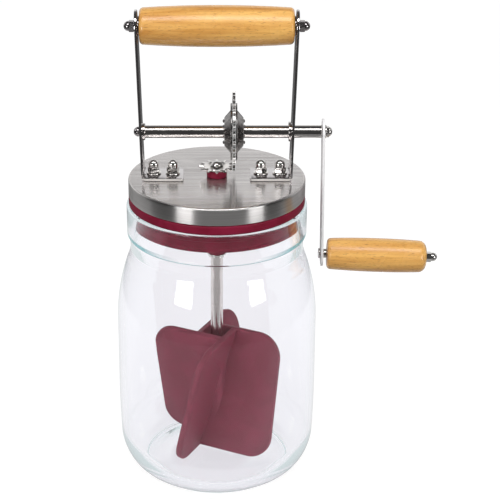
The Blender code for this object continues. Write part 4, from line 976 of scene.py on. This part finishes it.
axle = {
    "radius": 0.0040, "thread": 0.0020, "shoulder": 0.0658, "pin": 0.0022,
    "bore": 0.0043, "bushRadius": 0.0052, "flangeRadius": 0.00625, "flange": 0.0012, "leftCollar": 0.0054,
    "capRadius": 0.0031, "capRoof": 0.0009, "capSkirt": 0.0012, "capRounds": (0.0008, 0.0012), "capTip": 0.5,
}
axleLow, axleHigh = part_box("crank_axle")
onAxle = shift(0, 0, axleZ)


def makeAxle():
    radius, thread, shoulder, pin = (axle[key] for key in ("radius", "thread", "shoulder", "pin"))
    leftFace = -strapPoint(strapAlong(axleZ), 0, -strap["sheet"] / 2).x - seatGap
    corners = [(0, axleHigh.x), (thread, axleHigh.x, crispEdge), (thread, shoulder), (radius, shoulder, easedEdge)]
    corners += [(radius, leftFace, crispEdge), (pin, leftFace), (pin, axleLow.x, crispEdge), (0, axleLow.x)]
    shape = moved(turnedShape(filleted(corners), rodSides), alongX, onAxle)
    dress("crank_axle", shape, steel["axleSteel"], "crank", "brushed_steel")
    low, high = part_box("axle_end_cap")
    radius, bore, roof = axle["capRadius"], pin + seatGap, low.x + axle["capRoof"]
    shoulderRound, tipRound = axle["capRounds"]
    corners = [(0, roof), (bore, roof), (bore, high.x, hairEdge), (radius, high.x, fineEdge)]
    corners += [(radius, high.x - axle["capSkirt"], shoulderRound), (radius * axle["capTip"], low.x, tipRound)]
    shape = moved(turnedShape(filleted(corners + [(0, low.x)]), smallSides), alongX, onAxle)
    # The end cap takes the darker steel: painted shade
    dress("axle_end_cap", shape, steel["endSteelPaintedShade"], "crank", "bright_steel")
    low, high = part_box("axle_bush_right")
    seat, bore, sleeve = low.x + axle["flange"], axle["bore"], axle["bushRadius"]
    for side, flange, turn in (("right", axle["flangeRadius"], 0), ("left", axle["leftCollar"], pi)):
        corners = [(bore, high.x, fineEdge), (sleeve, high.x, fineEdge), (sleeve, seat)]
        corners += [(flange, seat, hairEdge), (flange, low.x, crispEdge), (bore, low.x, fineEdge)]
        shape = turnedShape(filleted(corners, True), smallSides)
        shape = moved(shape, alongX, Matrix.Rotation(turn, 4, "Z"), onAxle)
        dress("axle_bush_" + side, shape, steel["axleSteel"], "lid_unit", "brushed_steel")


# Toothed wheel with its riveted discs

wheelLow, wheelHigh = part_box("toothed_wheel")
wheel = {
    "teeth": 30, "root": 0.02218, "tip": 0.02508, "bore": 0.0057, "sheet": 0.0020,
    "x": (wheelLow.x + wheelHigh.x) / 2, "edgeRound": 0.00022,
    # Each tooth's corners, as (turn in teeth, share of the depth)
    "tooth": [(0.265, 0), (0.30, 0.5), (0.39, 1), (0.61, 1), (0.70, 0.5), (0.735, 0), (0.87, 0), (1.13, 0)],
}
disc = {
    "height": 0.0047, "sheet": 0.0008, "face": 0.0089, "shoulder": 0.0134, "rim": 0.0179, "bore": 0.0043,
    "sides": 128, "soft": 0.0010, "innerShift": 0.4,
}
rivet = {
    "count": 4, "start": pi / 4, "circle": 0.0074, "bore": 0.0012, "sides": 32,
    "stem": 0.0009, "head": 0.0013, "headHeight": 0.0008,
    # The head's outline, as (share of its radius, share of its height below the top)
    "dome": ((0.35, 0.08), (0.65, 0.32), (0.87, 0.66), (1.0, 1.0)),
}
nearlyFlat = 0.01                               # faces that meet at less than this angle become one


def drillRivets(piece, x, z):
    for step in range(rivet["count"]):
        turn = rivet["start"] + 2 * pi * step / rivet["count"]
        spot = shift(x, rivet["circle"] * sin(turn), z + rivet["circle"] * cos(turn))
        drill(piece, rivet["bore"], alongX, spot, sides=24)


def makeWheel():
    tree = makeToothedSheetTree(wheel["tooth"])
    values = {"Teeth": wheel["teeth"], "Root": wheel["root"], "Tip": wheel["tip"], "Bore": wheel["bore"]}
    piece = grownPiece("toothedWheel", tree, {**values, "Sheet": wheel["sheet"], "Material": steel["gearSteel"]})
    shape = bmesh.new()
    shape.from_mesh(piece.data)
    bmesh.ops.remove_doubles(shape, verts=shape.verts, dist=mergeDistance)
    bmesh.ops.dissolve_limit(shape, angle_limit=nearlyFlat, verts=shape.verts, edges=shape.edges)
    roundEdges(shape, wheel["edgeRound"])
    bmesh.ops.recalc_face_normals(shape, faces=shape.faces)
    moved(shape, shift(0, 0, -wheel["sheet"] / 2), alongX, shift(wheel["x"], 0, axleZ))
    shape.to_mesh(piece.data)
    shape.free()
    drillRivets(piece, wheel["x"], axleZ)
    piece.data.set_sharp_from_angle(angle=usualSharp)
    place(piece, "crank", "gear_steel", "toothed_wheel")


def makeDiscs():
    bore, rim, soft, sheet = (disc[key] for key in ("bore", "rim", "soft", "sheet"))
    seat = wheel["sheet"] / 2 + seatGap
    face, flat, shoulder = seat + disc["height"], disc["face"], disc["shoulder"]
    corners = [(bore, face, crispEdge), (flat, face, soft), (shoulder, seat + sheet, soft)]
    corners += [(rim, seat + sheet, crispEdge), (rim, seat, fineEdge), (shoulder - sheet, seat, soft / 2)]
    corners += [(flat - sheet * disc["innerShift"], face - sheet, soft / 2), (bore, face - sheet, fineEdge)]
    shape = moved(turnedShape(filleted(corners, True), disc["sides"]), alongX)
    source = newPiece("discSource", shape, steel["discSteel"])
    drillRivets(source, face, 0)
    middle = (wheel["x"], 0, axleZ)
    pairOf("hubDiscs", source, middle, "crank", "gear_steel", "hub_disc_left", "hub_disc_right")
    head = face + seatGap
    tip = head + rivet["headHeight"]
    upper = [(rivet["head"] * share, tip - drop * rivet["headHeight"]) for share, drop in rivet["dome"]]
    upper = [(0, tip)] + upper + [(rivet["stem"], head)]
    lower = [(radius, -height) for radius, height in upper[::-1]]
    source = newPiece("rivetSource", moved(turnedShape(upper + lower, rivet["sides"]), alongX), steel["discSteel"])
    values = {"Place": middle, "Radius": rivet["circle"], "Count": rivet["count"], "Start": rivet["start"]}
    rivets = repeated("hubRivets", ringTree, source, values)
    place(rivets, "crank", "gear_steel", *[f"hub_rivet_{number}" for number in range(1, 5)])


makeAxle()
makeWheel()
makeDiscs()
print("axle, toothed wheel and discs made")


# Crank arm, spindle and the turning grip

arm = {
    "width": 0.0164, "sheet": 0.0015, "throw": 0.0833, "lean": radians(0.6), "face": 0.0661,
    "edgeRound": 0.0003, "endCuts": 40,
    "nut": {"bore": screwBore, "roof": 0.0010, "flats": 0.0064, "hexHeight": 0.0014},
}
spindle = {
    "droop": radians(2.1), "radius": 0.0018, "bore": 0.0021, "headRadius": 0.0034, "headHeight": 0.0011,
    "headRound": 0.0007, "sides": 48, "face": 0.00121,
    "spacerRadius": 0.0030, "spacerLength": 0.0019, "spacerRound": 0.15,
    "gripLength": 0.0641, "gripRadius": 0.01095, "gripEndRadius": 0.0100, "nearRound": 0.0022, "farRound": 0.0046,
    "nut": {"bore": 0.0021, "roof": 0.0012, "flats": 0.0060, "height": 0.0071, "hexHeight": 0.0032},
}


def makeArm():
    half, throw, lean = arm["width"] / 2, arm["throw"], arm["lean"]
    turns = [pi * step / arm["endCuts"] for step in range(arm["endCuts"] + 1)]
    outline = [(half * cos(turn), half * sin(turn)) for turn in turns]
    outline += [(-half * cos(turn), -throw - half * sin(turn)) for turn in turns]
    shape = plateShape(outline, arm["sheet"], arm["edgeRound"])
    middle = arm["face"] + arm["sheet"] / 2
    upright = Matrix.Rotation(pi / 2, 4, "Z") @ Matrix.Rotation(pi / 2, 4, "X")
    stand = shift(middle, 0, axleZ) @ Matrix.Rotation(-lean, 4, "Y")
    # The arm's near-white, mostly non-metal steel is a painted reflection
    piece = newPiece("crankArm", moved(shape, upright, stand), steel["armSteelPaintedReflection"])
    drill(piece, screwBore, alongX, shift(middle, 0, axleZ))
    drill(piece, spindle["bore"], alongX, shift(0, 0, -throw), stand)
    place(piece, "crank", "brushed_steel", "crank_arm")
    low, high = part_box("arm_washer")
    shape = washer(screwBore, (high.z - low.z) / 2, high.x - low.x)
    dress("arm_washer", moved(shape, alongX, shift(low.x, 0, axleZ)), steel["nutSteel"], "crank", "brushed_steel")
    low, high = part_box("arm_nut")
    shape = moved(acornNut({**arm["nut"], "height": high.x - low.x}), alongX, shift(low.x, 0, axleZ))
    dress("arm_nut", shape, steel["nutSteel"], "crank", "bright_steel", nutForm["sharp"])
    return Vector((middle + throw * sin(lean), 0, axleZ - throw * cos(lean)))


def makeSpindle(start):
    droop = Matrix.Translation(start) @ Matrix.Rotation(spindle["droop"], 4, "Y")
    face, radius, headRadius, nut = (spindle[key] for key in ("face", "radius", "headRadius", "nut"))
    gripStart = face + spindle["spacerLength"] + seatGap
    gripEnd = gripStart + spindle["gripLength"]
    nutSeat = gripEnd + seatGap
    tip, back = nutSeat + nut["height"] - nut["roof"] - seatGap, -face - spindle["headHeight"]
    corners = [(0, tip), (radius, tip, crispEdge), (radius, -face), (headRadius, -face)]
    corners += [(headRadius, back, spindle["headRound"]), (0, back)]
    shape = moved(turnedShape(filleted(corners), spindle["sides"]), alongX, droop)
    dress("grip_spindle", shape, steel["axleSteel"], "crank", "brushed_steel")
    shape = washer(spindle["bore"], spindle["spacerRadius"], spindle["spacerLength"], spindle["spacerRound"])
    shape = moved(shape, alongX, shift(face, 0, 0), droop)
    dress("spindle_spacer", shape, steel["nutSteel"], "crank", "brushed_steel")
    shape = moved(acornNut(nut), alongX, shift(nutSeat, 0, 0), droop)
    dress("spindle_nut", shape, steel["nutSteel"], "crank", "bright_steel", nutForm["sharp"])
    middle = droop @ Vector(((gripStart + gripEnd) / 2, 0, 0))
    values = {
        "Length": spindle["gripLength"], "Middle Radius": spindle["gripRadius"],
        "End Radius": spindle["gripEndRadius"], "Near Round": spindle["nearRound"],
        "Far Round": spindle["farRound"], "Bore": spindle["bore"],
        "Material": wood, "Place": tuple(middle), "Turn": (0, pi / 2 + spindle["droop"], 0),
    }
    place(grownPiece("crankGrip", barrelTree, values), "grip", "beech_wood", "crank_grip")


makeSpindle(makeArm())
print("crank arm and grip made")


# Dasher: star pinion, shaft, ring and paddle

star = {
    "teeth": 12, "root": 0.00819, "tip": 0.01139, "rootShare": 0.55, "tipShare": 0.13, "sheet": 0.0015,
    "dish": 0.0010, "dishRadius": 0.0052, "dishWidth": 0.0018, "edgeRound": 0.00022, "sharp": radians(35),
    "nut": {"bore": screwBore, "roof": 0.0012, "flats": 0.0078, "height": 0.0036, "hexHeight": 0.0014},
}
shaft = {
    "radius": 0.0040, "thread": 0.0020, "endRound": 0.0005,
    "ringGroove": 0.0031, "clipMouth": radians(70), "clipCuts": 48,
}
paddle = {
    "blades": 4, "radius": 0.0427, "sheet": 0.0043, "pitch": radians(12.9), "turn": radians(-26.6),
    "topRound": 0.0159, "bottomRound": 0.0152, "roundStep": radians(6), "edgeRound": 0.0011, "edgeCuts": 4,
    "hubRadius": 0.0066, "hubTopDrop": 0.0060, "hubBottomRise": 0.0020, "hubRound": 0.0014,
    "socketDepth": 0.0560, "drillSpare": 0.01,
}


def makeStar():
    toothHalf = pi / star["teeth"]
    spots = [(star["root"], -star["rootShare"]), (star["tip"], -star["tipShare"])]
    spots += [(radius, -share) for radius, share in spots[::-1]]
    spots = [(radius, toothHalf * share) for radius, share in spots]
    middles = [2 * toothHalf * tooth for tooth in range(star["teeth"])]
    corners = [(radius, middle + turn) for middle in middles for radius, turn in spots]
    outline = [(radius * cos(turn), radius * sin(turn)) for radius, turn in corners]

    def circle(radius):
        return [(radius * x / hypot(x, y), radius * y / hypot(x, y)) for x, y in outline]

    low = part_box("star_pinion")[0].z
    raised, flare = low + star["dish"], star["dishRadius"] + star["dishWidth"]
    rings = [(circle(screwBore), low), (circle(star["dishRadius"]), low)]
    rings += [(circle(flare), raised), (outline, raised)]
    under = [[(x, y, height) for x, y in points] for points, height in rings]
    over = [[(x, y, z + star["sheet"]) for x, y, z in section] for section in under]
    shape = loftedShape(under + over[::-1], closed=True)
    bmesh.ops.recalc_face_normals(shape, faces=shape.faces)
    roundEdges(shape, star["edgeRound"], sharpest=star["sharp"])
    dress("star_pinion", shape, steel["starSteel"], "dasher", "gear_steel")
    shape = moved(acornNut(star["nut"]), shift(0, 0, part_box("star_nut")[0].z))
    dress("star_nut", shape, steel["nutSteel"], "dasher", "bright_steel", nutForm["sharp"])


def makeShaft():
    low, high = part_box("dasher_shaft")
    ringLow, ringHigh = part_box("retaining_ring")
    radius, thread, groove = shaft["radius"], shaft["thread"], shaft["ringGroove"]
    grooveLow, grooveHigh = ringLow.z - seatGap, ringHigh.z + seatGap
    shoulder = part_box("upper_shaft_bush")[1].z
    corners = [(0, high.z), (thread, high.z, crispEdge), (thread, shoulder), (radius, shoulder, crispEdge)]
    corners += [(radius, grooveHigh), (groove, grooveHigh), (groove, grooveLow), (radius, grooveLow)]
    corners += [(radius, low.z, shaft["endRound"]), (0, low.z)]
    dress("dasher_shaft", turnedShape(filleted(corners), rodSides), steel["shaftSteel"], "dasher", "brushed_steel")
    low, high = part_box("thrust_washer")
    shape = moved(washer(shaftBore, high.x, high.z - low.z), shift(0, 0, low.z))
    dress("thrust_washer", shape, steel["nutSteel"], "dasher", "brushed_steel")
    inner, outer = groove + seatGap, -ringLow.x
    corners = [(inner, ringLow.z, fineEdge), (outer, ringLow.z, crispEdge)]
    corners += [(outer, ringHigh.z, crispEdge), (inner, ringHigh.z, fineEdge)]
    section = filleted(corners, True)
    mouth, cuts = shaft["clipMouth"], shaft["clipCuts"]
    turns = [mouth / 2 + (2 * pi - mouth) * step / cuts for step in range(cuts + 1)]
    shape = loftedShape([[(r * cos(turn), r * sin(turn), z) for r, z in section] for turn in turns])
    dress("retaining_ring", shape, steel["nutSteel"], "dasher", "brushed_steel")


def makePaddle():
    low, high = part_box("butter_paddle")
    pitch, radius, hubRadius = paddle["pitch"], paddle["radius"], paddle["hubRadius"]
    half = (high.z - low.z) / 2 / cos(pitch) - paddle["sheet"] / 2 * tan(pitch)
    core = half * sin(pitch)
    hubTop, hubBottom = high.z - paddle["hubTopDrop"], low.z + paddle["hubBottomRise"]
    corners = [(0, hubTop), (hubRadius, hubTop, paddle["hubRound"])]
    corners += [(hubRadius, hubBottom, paddle["hubRound"]), (0, hubBottom)]
    # The paddle's lighter, greyer silicone is a painted reflection haze
    piece = newPiece("butterPaddle", turnedShape(filleted(corners), smallSides), paddleSiliconePaintedHaze)
    corners = [(-core, -half), (radius, -half, paddle["bottomRound"]), (radius, half, paddle["topRound"])]
    outline = filleted(corners + [(-core, half), (0, 0)], True, paddle["roundStep"])
    upright = Matrix.Rotation(pi / 2 - pitch, 4, "X")
    lift = shift(0, 0, (low.z + high.z) / 2)
    for blade in range(paddle["blades"]):
        shape = plateShape(outline, paddle["sheet"], paddle["edgeRound"], paddle["edgeCuts"])
        around = Matrix.Rotation(paddle["turn"] + 2 * pi * blade / paddle["blades"], 4, "Z")
        combine(piece, newPiece(f"blade{blade}", moved(shape, lift @ around @ upright), paddleSiliconePaintedHaze), "UNION")
    depth, spare = paddle["socketDepth"], paddle["drillSpare"]
    drill(piece, shaftBore, shift(0, 0, hubTop - depth / 2 + spare), sides=48, length=depth + 2 * spare)
    place(piece, "dasher", "burgundy_silicone", "butter_paddle")


makeStar()
makeShaft()
makePaddle()
print("dasher made")


# The few hidden CAD nodes that stay


def dressNodes(names, material):
    for name in names:
        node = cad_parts[name]
        node.data.materials.clear()
        node.data.materials.append(material)


dressNodes(footNames("screw") + ["handle_rod", "hub_sleeve"], steel["axleSteel"])


# Camera, studio lights, floor and world

view = {"distance": 1.0, "height": 0.5899, "pitch": radians(23.58), "lens": 121.5, "sensor": 36.0, "shift": 0.0663}
lamps = {
    "overhead": {"place": (0.0, -0.52, 1.20), "aim": (0, 0, 0.20), "size": (1.25, 0.30), "power": 7.5},
    "leftPanel": {"place": (-0.62, -0.76, 0.31), "aim": (0, 0, 0.15), "size": (0.36, 0.29), "power": 2.8},
    "rightPanel": {"place": (0.75, -0.66, 0.31), "aim": (0, 0, 0.15), "size": (0.34, 0.29), "power": 2.6},
}
table = {
    "radius": 0.40, "edge": 0.06, "reach": 6.0, "below": 0.0004, "frontCuts": 48,
    "colour": 0.22, "roughness": 0.9, "specular": 0.1,
    "frontGlow": 0.05, "backGlow": 0.60, "middle": (-0.05, 0.05),
    "cameraGlow": 0.90, "throughGlow": (0.80, 0.79, 0.84), "nearGlow": 0.32, "nearEnd": (-0.16, -0.08),
}
# Each tone has, where it changes over, the range of the direction's Y (to the back) or Z (up)
room = {
    "front": 0.05, "back": 0.90, "backFrom": (0.1, 0.55), "aloft": 0.08, "aloftFrom": (0.52, 0.66),
    "below": 0.04, "soft": 0.42, "softFrom": (-0.3, 0.3),
    "through": 0.66, "throughFrom": (-0.5, 0.5), "throughFront": 0.50, "frontFrom": (-0.5, 0.1),
}


def makeCamera():
    camera = bpy.data.objects.new("camera", bpy.data.cameras.new("camera"))
    scene.collection.objects.link(camera)
    camera.location = (0, -view["distance"], view["height"])
    camera.rotation_euler = (pi / 2 - view["pitch"], 0, 0)
    camera.data.lens = view["lens"]
    camera.data.sensor_width = view["sensor"]
    camera.data.shift_x = view["shift"]
    scene.camera = camera


def makeLamps():
    for name, lamp in lamps.items():
        light = bpy.data.lights.new(name, "AREA")
        light.shape = "RECTANGLE"
        light.size, light.size_y = lamp["size"]
        light.energy = lamp["power"]
        holder = bpy.data.objects.new(name, light)
        scene.collection.objects.link(holder)
        holder.location = lamp["place"]
        towards = Vector(lamp["aim"]) - holder.location
        holder.rotation_euler = towards.to_track_quat("-Z", "Y").to_euler()


def makeFloor():
    # A table with a round front, whose dark surroundings the steel mirrors
    radius, reach = table["radius"], table["reach"]
    turns = [pi * (1 + step / table["frontCuts"]) for step in range(table["frontCuts"] + 1)]
    outline = [(radius * cos(turn), radius * sin(turn)) for turn in turns]
    outline += [(reach, 0), (reach, reach), (-reach, reach), (-reach, 0)]
    shape = bmesh.new()
    shape.faces.new([shape.verts.new((x, y, -table["below"])) for x, y in outline])
    material, tree, shader, spot = newMaterial("paleFloor", table["roughness"], 0.0)
    path = addNode(tree, "ShaderNodeLightPath").outputs
    away = addNode(tree, "ShaderNodeVectorMath", {0: spot}, operation="LENGTH").outputs["Value"]
    across = addNode(tree, "ShaderNodeSeparateXYZ", {"Vector": spot}).outputs["Y"]
    onTable = spread(tree, away, radius, radius + table["edge"], 1.0, 0.0)
    tone = spread(tree, across, *table["middle"], table["frontGlow"], table["backGlow"])
    mirrored = times(tree, onTable, tone)
    glow = blendColour(tree, path["Is Glossy Ray"], (0, 0, 0, 1), mirrored)
    nearSide = spread(tree, across, *table["nearEnd"], table["nearGlow"], 1.0)
    nearSide = calc(tree, "MAXIMUM", nearSide, path["Diffuse Depth"])
    seen = blendColour(tree, nearSide, (0, 0, 0, 1), table["throughGlow"] + (1,))
    glow = blendColour(tree, path["Is Transmission Ray"], glow, seen)
    glow = blendColour(tree, path["Is Camera Ray"], glow, (table["cameraGlow"],) * 3 + (1,))
    values = {"Base Color": (table["colour"],) * 3 + (1,), "Specular IOR Level": table["specular"]}
    fill(tree, shader, {**values, "Emission Color": glow, "Emission Strength": 1.0})
    newPiece("floor", shape, material)


def makeWorld():
    world = bpy.data.worlds.new("studio")
    scene.world = world
    world.use_nodes = True
    tree = world.node_tree
    direction = addNode(tree, "ShaderNodeTexCoord").outputs["Generated"]
    axes = addNode(tree, "ShaderNodeSeparateXYZ", {"Vector": direction}).outputs
    path = addNode(tree, "ShaderNodeLightPath").outputs
    behind = spread(tree, axes["Y"], *room["backFrom"], 0.0, 1.0)
    low = spread(tree, axes["Z"], *room["aloftFrom"], 1.0, room["aloft"])
    bright = times(tree, times(tree, behind, low), room["back"] - room["front"])
    mirrored = plus(tree, bright, room["front"])
    soft = spread(tree, axes["Z"], *room["softFrom"], room["below"], room["soft"])
    lit = spread(tree, axes["Y"], *room["throughFrom"], room["through"], 1.0)
    front = spread(tree, axes["Y"], *room["frontFrom"], room["throughFront"], 1.0)
    seen = times(tree, low, front)

    def choose(isRay, otherwise, value):
        change = minus(tree, value, otherwise)
        return plus(tree, otherwise, times(tree, isRay, change))

    through = choose(calc(tree, "MINIMUM", path["Diffuse Depth"], 1.0), seen, lit)
    level = choose(path["Is Glossy Ray"], soft, mirrored)
    level = choose(path["Is Transmission Ray"], level, through)
    level = choose(path["Is Camera Ray"], level, 1.0)
    fill(tree, tree.nodes["Background"], {"Color": (1, 1, 1, 1), "Strength": level})


makeCamera()
makeLamps()
makeFloor()
makeWorld()
scene.view_settings.view_transform = "Standard"
print("camera and studio ready")
